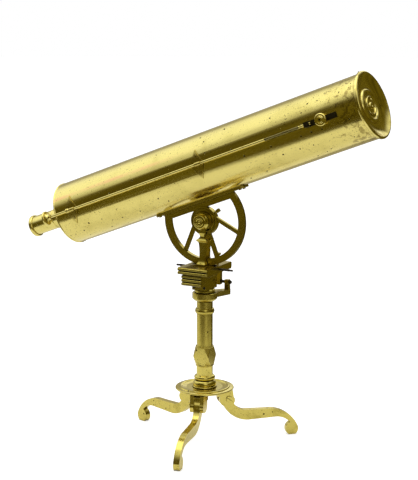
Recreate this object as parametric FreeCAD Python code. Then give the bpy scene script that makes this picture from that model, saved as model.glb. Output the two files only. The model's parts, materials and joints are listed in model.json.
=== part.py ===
import FreeCAD, Part
import math
import os

# Brass Gregorian reflecting telescope on a pillar with three folding legs.
# Millimetres, +Z up.  The origin is on the floor, under the middle of the whole object's box.
# The tube points along +X when seen from above; the focusing rod runs along its -Y side.

# ---- where things stand -------------------------------------------------------------------
PILLAR_X = 20.38           # pillar axis, measured from the origin
PILLAR_Y = 28.23
TRUNNION_Z = 457.0         # height of the altitude axis
ALTITUDE = 21.17           # elevation of the tube, degrees
TRUNNION_STATION = 297.4   # distance from the rear end of the tube to the altitude axis
TRUNNION_DROP = 103.9      # tube axis to altitude axis
RUNNING = 0.05             # radial clearance of a shaft in its hole
GAP = 0.3                  # clearance between pieces that move past each other

# ---- main tube ----------------------------------------------------------------------------
TUBE_R = 63.5
TUBE_WALL = 1.5
TUBE_LENGTH = 717.0
BORE_R = TUBE_R - TUBE_WALL
REAR_RIM_R = 64.8
CAP_RIM_R = 66.2
CAP_DISH = 4.0             # depth of the dust cap's dished face
ROD_ANGLE = 3.0            # focusing rod, degrees above the horizontal
ROD_OFFSET = 7.0           # rod axis to the tube's surface
ROD_R = 2.5
ROD_START = -16.0
ROD_END = 616.0
KNOB_R = 14.5
BRACKET_STATIONS = {"rear": 43.5, "front": 357.5}
NUT_STATION = 637.0
FOCUS_TRAVEL = 8.5
SLOT_WIDTH = 7.0

# ---- plate and sector under the tube ------------------------------------------------------
PLATE_START = 199.0
PLATE_END = 410.0
PLATE_WIDTH = 30.0
PLATE_THICK = 4.0
SECTOR_R = 90.0
SECTOR_RIM = 13.5
SECTOR_THICK = 9.0
SECTOR_BAR = 11.5
HUB_R = 29.0
HUB_HALF = 5.7
SPOKE_ANGLE = 43.0
SPOKE_WIDTH = 8.0
TRUNNION_R = 6.0
TOOTH_PITCH = 3.0

# ---- head ---------------------------------------------------------------------------------
WORM_Z = 361.0
WORM_R = TRUNNION_Z - SECTOR_R - WORM_Z - GAP
CORNICE_X = 33.0
CORNICE_Y = 53.0
CORNICE_BOTTOM = 354.0
CORNICE_TOP = 368.0
HEAD_BOTTOM = 319.0
UPRIGHT_INNER = 6.1
UPRIGHT_DEPTH = 9.0
TANGENT_Y = 46.0
TANGENT_Z = 326.0
TANGENT_LUG_X = 9.0
TANGENT_POST_X = 27.0
TANGENT_R = 3.0            # threaded part of the tangent screw

# ---- pillar and base ----------------------------------------------------------------------
PILLAR_R = 16.2
COLLAR_R = 25.4
COLLAR_BOTTOM = 293.0
COLLAR_TOP = 311.3
NECK_R = 12.0
SPINDLE_R = 8.0
KNOP_BOTTOM = 161.7
KNOP_TOP = 197.8
KNOP_SIDE = 34.5
DISC_R = 58.7
DISC_TOP = 114.6
DISC_BOTTOM = 109.0
LEG_AZIMUTHS = {"front": -77.44, "right": 42.56, "left": 162.56}
LEG_THICK = 12.6
HINGE_R = 48.0
HINGE_Z = 88.0
CHEEK_THICK = 7.5

X_AXIS = FreeCAD.Vector(1, 0, 0)
Y_AXIS = FreeCAD.Vector(0, 1, 0)
Z_AXIS = FreeCAD.Vector(0, 0, 1)
CENTRE = FreeCAD.Vector(0, 0, 0)
pieces = {}


# ---- small tools --------------------------------------------------------------------------
def outline(points, plane="XZ"):
    """Face from straight steps (a, b) and arcs ((through), (end)) in the XZ or YZ plane."""
    def spot(pair):
        if plane == "XZ":
            return FreeCAD.Vector(pair[0], 0, pair[1])
        return FreeCAD.Vector(0, pair[0], pair[1])

    edges = []
    here = points[0]
    for step in points[1:] + [points[0]]:
        if isinstance(step[0], tuple):
            edges.append(Part.Arc(spot(here), spot(step[0]), spot(step[1])).toShape())
            here = step[1]
        elif step != here:
            edges.append(Part.makeLine(spot(here), spot(step)))
            here = step
    return Part.Face(Part.Wire(edges))


def turned(points, axis=X_AXIS):
    """Solid of revolution: points are (along X, radius) or, about Z, (radius, height)."""
    return outline(points).revolve(CENTRE, axis, 360)


def ring(inner, outer, start, end, axis=X_AXIS):
    """Plain ring or, with an inner radius of 0, a disc between two stations."""
    shape = Part.makeCylinder(outer, end - start, axis * start, axis)
    if inner > 0:
        shape = shape.cut(Part.makeCylinder(inner, end - start + 2, axis * (start - 1), axis))
    return shape


def block(x0, x1, y0, y1, z0, z1):
    return Part.makeBox(x1 - x0, y1 - y0, z1 - z0, FreeCAD.Vector(x0, y0, z0))


def fused(shapes):
    return shapes[0].fuse(shapes[1:]).removeSplitter()


def screw(head_r, head_h, shank_r, shank, slot=True):
    """Cheese-head screw with its seat at the origin, pointing down -Z, head above."""
    shape = fused([ring(0, head_r, 0, head_h, Z_AXIS), ring(0, shank_r, -shank, 0, Z_AXIS)])
    if slot:
        shape = shape.cut(block(-0.18 * head_r, 0.18 * head_r, -head_r, head_r, 0.55 * head_h, head_h))
    return shape


def placed(shape, spot, up):
    """Copy of a shape built on +Z, standing at a spot with its +Z along up."""
    copy = shape.copy()
    copy.Placement = FreeCAD.Placement(spot, FreeCAD.Rotation(Z_AXIS, up))
    return copy


def on_tube(angle, radius, station):
    """Point beside the tube: angle above the horizontal on the rod's side."""
    turn = math.radians(angle)
    return FreeCAD.Vector(station, -radius * math.cos(turn), radius * math.sin(turn))


def outward(angle):
    return on_tube(angle, 1.0, 0.0)


def keep(name, shape):
    """Store a piece of the stand, which is built round the pillar axis."""
    shape = shape.copy()
    shape.translate(FreeCAD.Vector(PILLAR_X, PILLAR_Y, 0))
    pieces[name] = shape


def keep_tube(name, shape):
    """Store a piece of the tube, which is built along +X from the rear end of the tube."""
    shape = shape.copy()
    shape.translate(FreeCAD.Vector(-TRUNNION_STATION, 0, TRUNNION_DROP))
    shape.rotate(CENTRE, Y_AXIS, -ALTITUDE)
    shape.translate(FreeCAD.Vector(0, 0, TRUNNION_Z))
    keep(name, shape)


# ---- the tube and its optics --------------------------------------------------------------
def barrel():
    shape = turned([
        (0, BORE_R), (0, REAR_RIM_R - 0.5), ((0.9, REAR_RIM_R), (1.8, REAR_RIM_R - 0.5)),
        (2.6, TUBE_R), (TUBE_LENGTH - 6, TUBE_R), (TUBE_LENGTH - 6, BORE_R)])
    slot_start = NUT_STATION - FOCUS_TRAVEL - 5
    slot_end = NUT_STATION + FOCUS_TRAVEL + 5
    cutter = block(slot_start, slot_end, -TUBE_R - 4, -BORE_R + 6, -SLOT_WIDTH / 2, SLOT_WIDTH / 2)
    cutter.rotate(CENTRE, X_AXIS, -ROD_ANGLE)
    return shape.cut(cutter)


def rear_plate():
    """Turned plate that closes the rear end, with a moulded step and a central boss."""
    return turned([
        (-3.0, 21.0), (-3.0, 34.0), ((-2.2, 36.0), (-0.6, 37.0)), (-0.6, 57.0),
        ((-2.4, 59.5), (-0.4, 62.0)), (0.0, BORE_R - 0.1), (9.0, BORE_R - 0.1), (9.0, 59.5),
        (2.0, 59.5), (2.0, 28.0), (6.0, 26.0), (6.0, 21.0)])


def eyepiece_flange():
    return turned([
        (-9.0, 20.15), (-9.0, 24.0), ((-8.0, 25.4), (-6.6, 25.8)), (-4.6, 27.4),
        ((-3.6, 28.2), (-3.0, 29.5)), (-3.0, 21.0), (4.0, 21.0), (4.0, 20.15)])


def eyepiece_barrel():
    """Plain brass tube with two beads, screwed into the flange."""
    return turned([
        (-96.0, 17.6), (-96.0, 20.0), (-44.0, 20.0), ((-42.5, 21.0), (-41.0, 20.0)),
        (-14.0, 20.0), ((-12.2, 21.4), (-10.4, 20.0)), (3.0, 20.0), (3.0, 17.6)])


def eyepiece_cap():
    """Flared end ring with the eye hole."""
    return turned([
        (-104.0, 4.0), (-104.0, 8.0), ((-101.5, 12.0), (-102.5, 17.0)), (-104.0, 19.0),
        (-104.0, 20.0), ((-103.12, 22.12), (-101.0, 23.0)), (-98.0, 23.0),
        ((-95.95, 22.15), (-95.1, 20.1)), (-96.0, 20.1), (-96.0, 17.6), (-98.5, 17.6), (-98.5, 4.0)])


def to_axis(edge, radius, rise):
    """Arc step from (edge, radius) to the axis, centred on the axis; the crown is at edge + rise."""
    ball = (radius * radius + rise * rise) / (2 * abs(rise))
    drop = ball - math.sqrt(ball * ball - radius * radius / 4)
    crown = edge + rise
    return ((crown - math.copysign(drop, rise), radius / 2), (crown, 0))


def lens(radius, thick, station, bulge):
    """Plano-convex lens with its flat face at the station and its curve towards -X."""
    return turned([
        (station, 0), (station, radius), (station - thick, radius),
        to_axis(station - thick, radius, -bulge)])


def field_cell():
    """Sleeve that holds the field lens at one end and has the field stop at the other."""
    return turned([
        (-50.0, 7.0), (-50.0, 17.5), (-8.0, 17.5), (-8.0, 15.0), (-16.0, 15.0), (-16.0, 16.4),
        (-48.6, 16.4), (-48.6, 7.0)])


def primary_mirror():
    """Speculum with a central hole and a hollow front face."""
    sag = 2.4
    return turned([
        (16.0, 10.0), (16.0, 58.0), (29.0, 58.0),
        ((29.0 - 0.72 * sag, 35.0), (29.0 - sag, 10.0))])


def mirror_cell():
    return turned([
        (14.0, 52.0), (14.0, BORE_R - 0.1), (33.0, BORE_R - 0.1), (33.0, 56.5), (30.5, 56.5),
        (30.5, 58.1), (16.0, 58.1), (16.0, 52.0)])


def mirror_springs():
    """Three bowed leaves that press the mirror forward from the rear plate."""
    leaves = []
    for turn in (90, 210, 330):
        leaf = outline([(2.0, -16), ((14.6, 0), (2.0, 16)), (3.6, 16), ((15.9, 0), (3.6, -16))])
        leaf = leaf.extrude(FreeCAD.Vector(0, 8, 0))
        leaf.translate(FreeCAD.Vector(0, 42, 0))
        leaf.rotate(CENTRE, X_AXIS, turn)
        leaves.append(leaf)
    return Part.makeCompound(leaves)


def baffle():
    return turned([
        (10.0, 8.2), (10.0, 9.8), (80.0, 9.8), (80.0, 8.6), (14.0, 8.2)])


def secondary_parts():
    """Small mirror, its cell, and the arm that carries it from the slider."""
    back = NUT_STATION - 2.0
    mirror = turned([
        (back, 0), (back, 13.5), (back - 6.0, 13.5), to_axis(back - 6.0, 13.5, 0.9)])
    cell = turned([
        (back, 0), (back, 13.6), (back - 7.0, 13.6), (back - 7.0, 15.2), (back + 1.0, 15.2),
        ((back + 4.0, 12.0), (back + 5.0, 5.0)), (back + 5.0, 0)])
    arm = block(NUT_STATION - 3.0, NUT_STATION + 3.0, -BORE_R + 2.2, -14.0, -1.0, 1.0)
    arm.rotate(CENTRE, X_AXIS, -ROD_ANGLE)
    return mirror, cell, arm.cut(cell)


def curved_pad(station, length, width, inner, outer, angle):
    """Thin pad that follows the round of the tube."""
    shell = ring(inner, outer, station - length / 2, station + length / 2)
    cutter = block(station - length, station + length, -outer - 2, 0, -width / 2, width / 2)
    cutter.rotate(CENTRE, X_AXIS, -angle)
    return shell.common(cutter)


def slider_parts():
    """Outer slide, inner guide, stud and the nut block that the rod's thread drives."""
    guide = curved_pad(NUT_STATION, 52, 12, BORE_R - 2.2, BORE_R - 0.1, ROD_ANGLE)
    slide = curved_pad(NUT_STATION - 1.5, 66, 10.5, TUBE_R + 0.1, TUBE_R + 1.8, ROD_ANGLE)
    stud_length = 12.0
    stud = ring(0, 3.0, 0, stud_length, Z_AXIS)
    stud = placed(stud, on_tube(ROD_ANGLE, TUBE_R - 4.0, NUT_STATION), outward(ROD_ANGLE))
    nut_block = block(NUT_STATION - 34.0, NUT_STATION - 24.0, -5.0, 5.0, 0, ROD_OFFSET + 2.4)
    nut_block = nut_block.cut(ring(0, ROD_R + RUNNING, NUT_STATION - 40, NUT_STATION).translated(
        FreeCAD.Vector(0, 0, ROD_OFFSET - 1.8)))
    nut_block.rotate(CENTRE, X_AXIS, 90 - ROD_ANGLE)
    nut_block.translate(on_tube(ROD_ANGLE, TUBE_R + 1.8, 0))
    return guide, slide.cut(stud), stud, nut_block


def clamp_nut():
    """Milled nut of stepped rings with a hole for the stud."""
    shape = turned([
        (0, 3.0 + RUNNING), (6.2, 3.0 + RUNNING), (6.2, 2.1), (8.6, 2.1), (8.6, 5.2),
        (7.8, 5.9), (7.8, 7.2), (6.6, 8.0), (6.6, 10.0),
        ((5.6, 11.6), (3.4, 12.0)), (2.0, 12.0), (1.2, 10.4), (0, 9.6)])
    shape.rotate(CENTRE, Z_AXIS, -90)
    shape.rotate(CENTRE, X_AXIS, -ROD_ANGLE)
    return shape.translated(on_tube(ROD_ANGLE, TUBE_R + 1.8 + GAP, NUT_STATION))


def bracket(station):
    """Lozenge foot on the tube with a bored block for the focusing rod."""
    half_chord = 29.5
    half_length = 15.0
    plate = ring(TUBE_R, TUBE_R + 1.8, station - half_length, station + half_length)
    lozenge = outline([(station - half_length, 0), (station, half_chord),
                       (station + half_length, 0), (station, -half_chord)])
    lozenge = lozenge.extrude(FreeCAD.Vector(0, -TUBE_R - 4, 0))
    lozenge.rotate(CENTRE, X_AXIS, -ROD_ANGLE)
    plate = plate.common(lozenge)
    reach = ROD_OFFSET + 0.4
    pillar = block(station - 2.0, station + 11.0, -2.6, 2.6, -0.3, reach)
    eye = ring(0, 3.9, station - 2.0, station + 11.0).translated(FreeCAD.Vector(0, 0, ROD_OFFSET))
    hole = ring(0, ROD_R + RUNNING, station - 20, station + 20)
    hole.translate(FreeCAD.Vector(0, 0, ROD_OFFSET))
    bush = fused([pillar, eye]).cut(hole)
    bush.rotate(CENTRE, X_AXIS, 90 - ROD_ANGLE)
    bush.translate(on_tube(ROD_ANGLE, TUBE_R, 0))
    bush = bush.cut(Part.makeCylinder(TUBE_R, TUBE_LENGTH, CENTRE, X_AXIS))
    return fused([plate, bush])


def bracket_screws(station):
    """Two round-headed screws near the upper and lower points of the lozenge."""
    screws = []
    for angle in (ROD_ANGLE - 15.5, ROD_ANGLE + 15.5):
        piece = screw(2.3, 1.3, 1.3, 1.8 + TUBE_WALL)
        screws.append(placed(piece, on_tube(angle, TUBE_R + 1.8, station), outward(angle)))
    return screws


def focus_pieces():
    """Long rod with its collar behind the rear bracket, and the dished knob."""
    centre = on_tube(ROD_ANGLE, TUBE_R + ROD_OFFSET, 0)
    rod = fused([
        ring(0, ROD_R, ROD_START + 4, ROD_END - 22),
        ring(0, ROD_R - 0.6, ROD_END - 22, ROD_END - 19),
        ring(0, ROD_R, ROD_END - 19, ROD_END)])
    knob = turned([
        (-21.0, 0), (-21.0, 3.2), ((-18.8, 8.0), (-19.6, 12.8)), (-19.0, KNOB_R),
        (-16.6, KNOB_R), (-15.6, 13.4), ((-13.8, 8.0), (-11.0, 5.2)), (-6.5, 4.6),
        (-6.5, ROD_R), (-12.0, ROD_R), (-12.0, 0)])
    collar_at = BRACKET_STATIONS["rear"] - 2.0 - GAP
    collar = turned([
        (collar_at - 7.0, ROD_R), (collar_at - 7.0, 3.4), ((collar_at - 5.5, 4.8), (collar_at - 4.0, 3.6)),
        ((collar_at - 2.0, 4.6), (collar_at, 3.4)), (collar_at, ROD_R)])
    rod = fused([rod, collar])
    for shape in (rod, knob):
        shape.translate(centre)
    return rod, knob


def front_cap():
    """Turned dust cap with a dished moulded face and a sleeve inside the tube's mouth."""
    mouth = TUBE_LENGTH - 6
    face = TUBE_LENGTH
    dish = face - CAP_DISH
    return turned([
        (dish - 3.0, 0), (dish - 1.6, 0), ((dish + 0.4, 1.4), (dish + 1.6, 3.0)),
        ((dish + 0.8, 5.6), (dish - 1.6, 7.0)), (dish - 1.6, 14.4), (dish + 0.2, 15.2),
        ((dish + 1.2, 17.0), (dish - 0.2, 18.6)), (dish - 2.4, 19.4), (dish - 2.4, 23.0),
        ((dish + 0.8, 28.6), (dish - 3.2, 34.6)), (dish - 3.2, 36.5),
        ((face - 4.4, 52.0), (face + 1.4, 61.4)),
        ((face + 2.3, 62.8), (face + 1.8, 64.4)), ((face, CAP_RIM_R), (face - 2.8, CAP_RIM_R)),
        ((mouth + 1.4, CAP_RIM_R - 0.4), (mouth + GAP, TUBE_R + 0.4)),
        (mouth + GAP, BORE_R - 0.15), (mouth - 18.0, BORE_R - 0.15),
        (mouth - 18.0, BORE_R - 1.6), (face - 4.5, BORE_R - 1.6),
        ((face - 7.4, 56.0), (face - 9.0, 49.0)), (face - 9.0, 0)])


def cap_pin():
    """Small stud on the rim that marks where the cap is gripped."""
    pin = ring(0, 1.3, 0, 2.2, Z_AXIS)
    return placed(pin, on_tube(78.0, CAP_RIM_R - 0.7, TUBE_LENGTH - 2.2), outward(78.0))


# ---- plate, sector and trunnion -----------------------------------------------------------
def saddle_plate():
    plate = block(PLATE_START, PLATE_END, -PLATE_WIDTH / 2, PLATE_WIDTH / 2,
                  -TUBE_R - PLATE_THICK, -TUBE_R + 2.2)
    plate = plate.cut(Part.makeCylinder(TUBE_R, TUBE_LENGTH, CENTRE, X_AXIS))
    for station in (PLATE_START, PLATE_END):
        for side in (-1, 1):
            corner = block(station - 3, station + 3, side * PLATE_WIDTH / 2 - 3,
                           side * PLATE_WIDTH / 2 + 3, -TUBE_R - 9, -TUBE_R + 9)
            corner.rotate(FreeCAD.Vector(station, side * PLATE_WIDTH / 2, 0), Z_AXIS, 45)
            plate = plate.cut(corner)
    return plate


def saddle_screws():
    """Four screws driven up through the ends of the plate into the tube."""
    screws = []
    for station in (PLATE_START + 8, PLATE_END - 10):
        for side in (-8.5, 8.5):
            piece = screw(2.9, 2.0, 1.6, PLATE_THICK)
            spot = FreeCAD.Vector(station, side, -TUBE_R - PLATE_THICK)
            screws.append(placed(piece, spot, FreeCAD.Vector(0, 0, -1)))
    return screws


def sector():
    """D-shaped worm sector: rim, chord bar, three fanned spokes and hub, built round its hub."""
    half = SECTOR_THICK / 2
    chord = TRUNNION_DROP - TUBE_R - PLATE_THICK
    slab = Part.makeCylinder(SECTOR_R, SECTOR_THICK, FreeCAD.Vector(0, -half, 0), Y_AXIS)
    below_chord = block(-SECTOR_R, SECTOR_R, -half, half, -SECTOR_R, chord)
    slab = slab.common(below_chord)
    opening = Part.makeCylinder(SECTOR_R - SECTOR_RIM, SECTOR_THICK, FreeCAD.Vector(0, -half, 0), Y_AXIS)
    opening = opening.common(block(-SECTOR_R, SECTOR_R, -half, half, -SECTOR_R, chord - SECTOR_BAR))
    slab = slab.cut(opening)
    apex = FreeCAD.Vector(0, 0, chord - SECTOR_BAR)
    spokes = []
    for angle in (-SPOKE_ANGLE, 0, SPOKE_ANGLE):
        spoke = block(-SPOKE_WIDTH / 2, SPOKE_WIDTH / 2, -half + 1.5, half - 1.5, -120, 0)
        spoke.rotate(CENTRE, Y_AXIS, angle)
        spoke.translate(apex)
        spokes.append(spoke.common(opening))
    hub = Part.makeCylinder(HUB_R, 2 * HUB_HALF, FreeCAD.Vector(0, -HUB_HALF, 0), Y_AXIS)
    shape = fused([slab] + spokes + [hub])
    step = Part.makeCylinder(HUB_R - 2.6, 1.2, FreeCAD.Vector(0, -HUB_HALF, 0), Y_AXIS)
    step = step.cut(Part.makeCylinder(HUB_R - 5.0, 1.2, FreeCAD.Vector(0, -HUB_HALF, 0), Y_AXIS))
    bore = Part.makeCylinder(TRUNNION_R, 40, FreeCAD.Vector(0, -20, 0), Y_AXIS)
    return shape.cut(Part.makeCompound([step, bore, tooth_gaps()]))


def tooth_gaps():
    """Fine gaps round the rim between the two ends of the chord."""
    step = math.degrees(TOOTH_PITCH / SECTOR_R)
    count = int(104 / step)
    gaps = []
    for index in range(-count, count + 1):
        gap = block(-0.7, 0.7, -3.0, 3.0, -SECTOR_R - 1, -SECTOR_R + 0.9)
        gap.rotate(CENTRE, Y_AXIS, index * step)
        gaps.append(gap)
    return Part.makeCompound(gaps)


def keep_sector(name, shape):
    """Store a piece that is built round the altitude axis and tilts with the tube."""
    shape = shape.copy()
    shape.rotate(CENTRE, Y_AXIS, -ALTITUDE)
    shape.translate(FreeCAD.Vector(0, 0, TRUNNION_Z))
    keep(name, shape)


def hub_screw():
    """Square-headed clamp screw set radially in the hub."""
    stem = ring(0, 2.4, HUB_R - 9, HUB_R + 5)
    head = block(HUB_R + 5, HUB_R + 11.5, -3.4, 3.4, -3.4, 3.4)
    shape = fused([stem, head])
    shape.rotate(CENTRE, Y_AXIS, -16.0)
    return shape


def trunnion_shaft():
    reach = UPRIGHT_INNER + UPRIGHT_DEPTH + 8
    shaft = Part.makeCylinder(TRUNNION_R, 2 * reach, FreeCAD.Vector(0, -reach, 0), Y_AXIS)
    return shaft


def trunnion_cap():
    """Stepped cap on the end of the trunnion, built pointing along +X from its seat."""
    return turned([
        (0, TRUNNION_R), (0, 16.4), ((1.3, 17.0), (2.6, 16.4)), (4.4, 15.0), (6.6, 14.4),
        ((8.6, 13.6), (9.6, 11.0)), (9.6, 9.6), (11.0, 9.4), ((11.9, 7.6), (11.2, 5.6)),
        (10.4, 5.0), (10.4, 3.4), to_axis(10.4, 3.4, 1.4), (8.0, 0), (8.0, TRUNNION_R)])


# ---- head ---------------------------------------------------------------------------------
def upright():
    """Standard with a spread foot, waisted shaft, capital and bearing eye, flat face at y = 0."""
    foot = CORNICE_TOP
    profile = outline([
        (-9.5, foot), (9.5, foot), (9.5, foot + 2.5), ((6.6, foot + 9), (5.9, foot + 18)),
        ((5.7, foot + 34), (7.2, foot + 46)), (10.4, foot + 49.0), ((11.6, foot + 50.6), (10.4, foot + 52.2)),
        (8.6, foot + 53.0), (4.8, foot + 57.5), ((5.6, foot + 63), (13.0, foot + 71.5)),
        (-13.0, foot + 71.5), ((-5.6, foot + 63), (-4.8, foot + 57.5)), (-8.6, foot + 53.0),
        (-10.4, foot + 52.2), ((-11.6, foot + 50.6), (-10.4, foot + 49.0)), (-7.2, foot + 46),
        ((-5.7, foot + 34), (-5.9, foot + 18)), ((-6.6, foot + 9), (-9.5, foot + 2.5))])
    shaft = profile.extrude(FreeCAD.Vector(0, -UPRIGHT_DEPTH - 4, 0))
    side = outline([
        (0, foot), (-UPRIGHT_DEPTH - 3.5, foot), (-UPRIGHT_DEPTH - 3.5, foot + 2.5),
        ((-UPRIGHT_DEPTH + 1.4, foot + 10), (-UPRIGHT_DEPTH + 2.2, foot + 22)),
        (-UPRIGHT_DEPTH + 1.4, foot + 47), (-UPRIGHT_DEPTH - 1.0, foot + 50.6),
        (-UPRIGHT_DEPTH + 1.4, foot + 54), (-UPRIGHT_DEPTH + 2.6, foot + 58),
        (-UPRIGHT_DEPTH + 1.0, foot + 66), (-UPRIGHT_DEPTH + 1.0, foot + 80), (0, foot + 80)], "YZ")
    side = side.extrude(FreeCAD.Vector(40, 0, 0)).translated(FreeCAD.Vector(-20, 0, 0))
    shaft = shaft.common(side)
    eye = Part.makeCylinder(19.0, UPRIGHT_DEPTH, FreeCAD.Vector(0, -UPRIGHT_DEPTH, TRUNNION_Z), Y_AXIS)
    rim = Part.makeCylinder(16.6, 1.0, FreeCAD.Vector(0, -UPRIGHT_DEPTH, TRUNNION_Z), Y_AXIS)
    groove = rim.cut(Part.makeCylinder(15.4, 1.0, FreeCAD.Vector(0, -UPRIGHT_DEPTH, TRUNNION_Z), Y_AXIS))
    hole = Part.makeCylinder(TRUNNION_R + RUNNING, 60, FreeCAD.Vector(0, -30, TRUNNION_Z), Y_AXIS)
    shape = fused([shaft, eye]).cut(Part.makeCompound([groove, hole]))
    shape.translate(FreeCAD.Vector(0, -UPRIGHT_INNER, 0))
    return shape


def upright_screws():
    screws = []
    for side in (-1, 1):
        piece = screw(2.4, 2.0, 1.5, 8.0)
        spot = FreeCAD.Vector(0, side * (UPRIGHT_INNER + UPRIGHT_DEPTH + 0.4), CORNICE_TOP + 2.5)
        screws.append(placed(piece, spot, Z_AXIS))
    return screws


def cornice():
    """Top slab of the head: double roll along both long edges, slot for worm and sector."""
    bottom = CORNICE_BOTTOM
    top = CORNICE_TOP
    roll = (top - bottom) / 2
    edge = CORNICE_Y - 3.0
    groove = bottom + roll
    shape = outline([
        (-edge, bottom), ((-CORNICE_Y - 0.5, bottom + roll / 2), (-edge, groove - 0.5)),
        (-edge + 2.4, groove), (-edge, groove + 0.5),
        ((-CORNICE_Y - 0.8, top - roll / 2 + 0.2), (-edge, top)), (edge, top),
        (CORNICE_Y, top - 1.5), (CORNICE_Y, top - 9.0), (CORNICE_Y - 2.0, bottom), (edge, bottom)], "YZ")
    shape = shape.extrude(FreeCAD.Vector(2 * CORNICE_X, 0, 0))
    shape.translate(FreeCAD.Vector(-CORNICE_X, 0, 0))
    slot = block(-27, 27, -WORM_R - 1.2, WORM_R + 1.2, bottom - 1, top + 1)
    shaft = Part.makeCylinder(2.3 + RUNNING, 120, FreeCAD.Vector(-60, 0, WORM_Z), X_AXIS)
    seam = block(19.4, 20.2, -CORNICE_Y - 3, -CORNICE_Y + 4.5, bottom - 1, top + 1)
    return shape.cut(Part.makeCompound([slot, shaft, seam]))


def head_body():
    """Core of the head, square below and flaring out under the slab on three sides."""
    low = HEAD_BOTTOM
    spring = CORNICE_BOTTOM - 15.0
    top = CORNICE_BOTTOM
    across = outline([
        (-16, low), (16, low), (16, spring), ((18.5, spring + 10.5), (31, top)), (-31, top),
        ((-18.5, spring + 10.5), (-16, spring))])
    across = across.extrude(FreeCAD.Vector(0, 120, 0)).translated(FreeCAD.Vector(0, -60, 0))
    along = outline([
        (-24, low), (21.5, low), (21.5, spring), ((26.0, spring + 9.5), (49, top)), (-49, top),
        (-49, top - 1.4), (-24, top - 1.4)], "YZ")
    along = along.extrude(FreeCAD.Vector(120, 0, 0)).translated(FreeCAD.Vector(-60, 0, 0))
    return across.common(along).cut(ring(0, 5.0, low - 1, low + 12, Z_AXIS))


def reeded_box():
    """Box on the near face of the core, with three rounded reeds along its front."""
    low = 331.0
    top = CORNICE_BOTTOM - 1.4
    reed = (top - low) / 3
    front = -47.5
    steps = [(-24.0, low)]
    for index in range(3):
        foot = low + index * reed
        steps += [(front, foot + 0.5), ((front - 3.2, foot + reed / 2), (front, foot + reed - 0.5))]
        steps.append((front + 2.0, foot + reed))
    steps[-1] = (-24.0, top)
    shape = outline(steps, "YZ").extrude(FreeCAD.Vector(44, 0, 0))
    return shape.translated(FreeCAD.Vector(-26, 0, 0))


def body_screws():
    """Two screws in the near face of the core, one each side."""
    screws = []
    for side in (-11.5, 11.5):
        piece = screw(2.6, 0.8, 1.5, 7.0)
        screws.append(placed(piece, FreeCAD.Vector(side, -24, 324.5), FreeCAD.Vector(0, -1, 0)))
    return screws


def tangent_lug():
    """Lug under the far edge of the slab, pushed round by the tangent screw."""
    shape = block(TANGENT_LUG_X - 3.5, TANGENT_LUG_X + 3.5, TANGENT_Y - 5.6, TANGENT_Y + 5.6,
                  TANGENT_Z - 6.5, CORNICE_BOTTOM)
    start = FreeCAD.Vector(TANGENT_LUG_X - 15, TANGENT_Y, TANGENT_Z)
    return shape.cut(Part.makeCylinder(TANGENT_R + 1.2, 30, start, X_AXIS))


def pressure_screw():
    """Vertical thumbscrew on the far side of the slab, above the worm's bearing."""
    shape = turned([
        (0, 0), (2.0, 0), (2.0, 19.0), (4.0, 21.0), (4.0, 23.0), (6.2, 23.6), (6.4, 25.6),
        (6.2, 27.4), (3.0, 28.2), (0, 28.2)], Z_AXIS)
    return shape


def altitude_worm():
    """Shaft across the slab with the ringed worm under the sector and squared ends."""
    pitch = TOOTH_PITCH
    count = 7
    start = -(count / 2) * pitch
    root = WORM_R - 1.1
    steps = [(-64.5, 0), (-64.5, 1.9), (-57, 1.9), (-57, 2.3), (start - 3, 2.3), (start - 3, root)]
    for index in range(count):
        foot = start + index * pitch
        steps += [(foot + 0.7, root), (foot + 1.1, WORM_R), (foot + 1.9, WORM_R), (foot + 2.3, root)]
    steps += [(-start + 3, root), (-start + 3, 2.3), (55, 2.3), (55, 1.9), (62.5, 1.9), (62.5, 0)]
    return turned(steps).translated(FreeCAD.Vector(0, 0, WORM_Z))


# ---- azimuth collar and spindle -----------------------------------------------------------
def azimuth_collar():
    """Turned collar on the pillar's neck with a tapering arm for the tangent screw's post."""
    bottom = COLLAR_BOTTOM + GAP
    shape = turned([
        (NECK_R + RUNNING, bottom), (PILLAR_R, bottom), ((21.8, bottom + 2.6), (COLLAR_R, bottom + 6.7)),
        (COLLAR_R, COLLAR_TOP - 1.2), (COLLAR_R - 1.2, COLLAR_TOP), (NECK_R + RUNNING, COLLAR_TOP)], Z_AXIS)
    reach = math.hypot(TANGENT_POST_X, TANGENT_Y)
    heading = math.degrees(math.atan2(TANGENT_Y, TANGENT_POST_X))
    arm = outline([(14, -15), (reach, -6.5), ((reach + 6.5, 0), (reach, 6.5)), (14, 15)])
    arm = arm.extrude(FreeCAD.Vector(0, -(COLLAR_TOP - bottom - 7.3), 0))
    arm.rotate(CENTRE, X_AXIS, 90)
    arm.translate(FreeCAD.Vector(0, 0, COLLAR_TOP))
    arm.rotate(CENTRE, Z_AXIS, heading)
    core = ring(0, NECK_R + 4, bottom - 20, COLLAR_TOP + 20, Z_AXIS)
    return fused([shape, arm.cut(core)])


def collar_post():
    """Square post on the arm, bored for the tangent screw."""
    shape = block(TANGENT_POST_X - 4.5, TANGENT_POST_X + 4.5, TANGENT_Y - 4.5, TANGENT_Y + 4.5,
                  COLLAR_TOP, TANGENT_Z + 5.0)
    start = FreeCAD.Vector(TANGENT_POST_X - 15, TANGENT_Y, TANGENT_Z)
    hole = Part.makeCylinder(1.5 + RUNNING, 30, start, X_AXIS)
    return shape.cut(hole)


def tangent_screw():
    """Screw with its thick part in the lug, a thin neck in the post and a milled head outside it."""
    neck = TANGENT_POST_X - 4.5 - GAP
    head = TANGENT_POST_X + 4.5 + GAP
    shape = turned([
        (-1.5, 0), (-1.5, TANGENT_R - 0.6), (-0.9, TANGENT_R), (neck, TANGENT_R), (neck, 1.5),
        (head, 1.5), (head, 2.8), (head + 0.8, 3.5), (head + 3.4, 3.5), (head + 4.2, 2.8),
        (head + 4.2, 1.2), (head + 3.6, 0)])
    return shape.translated(FreeCAD.Vector(0, TANGENT_Y, TANGENT_Z))


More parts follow.
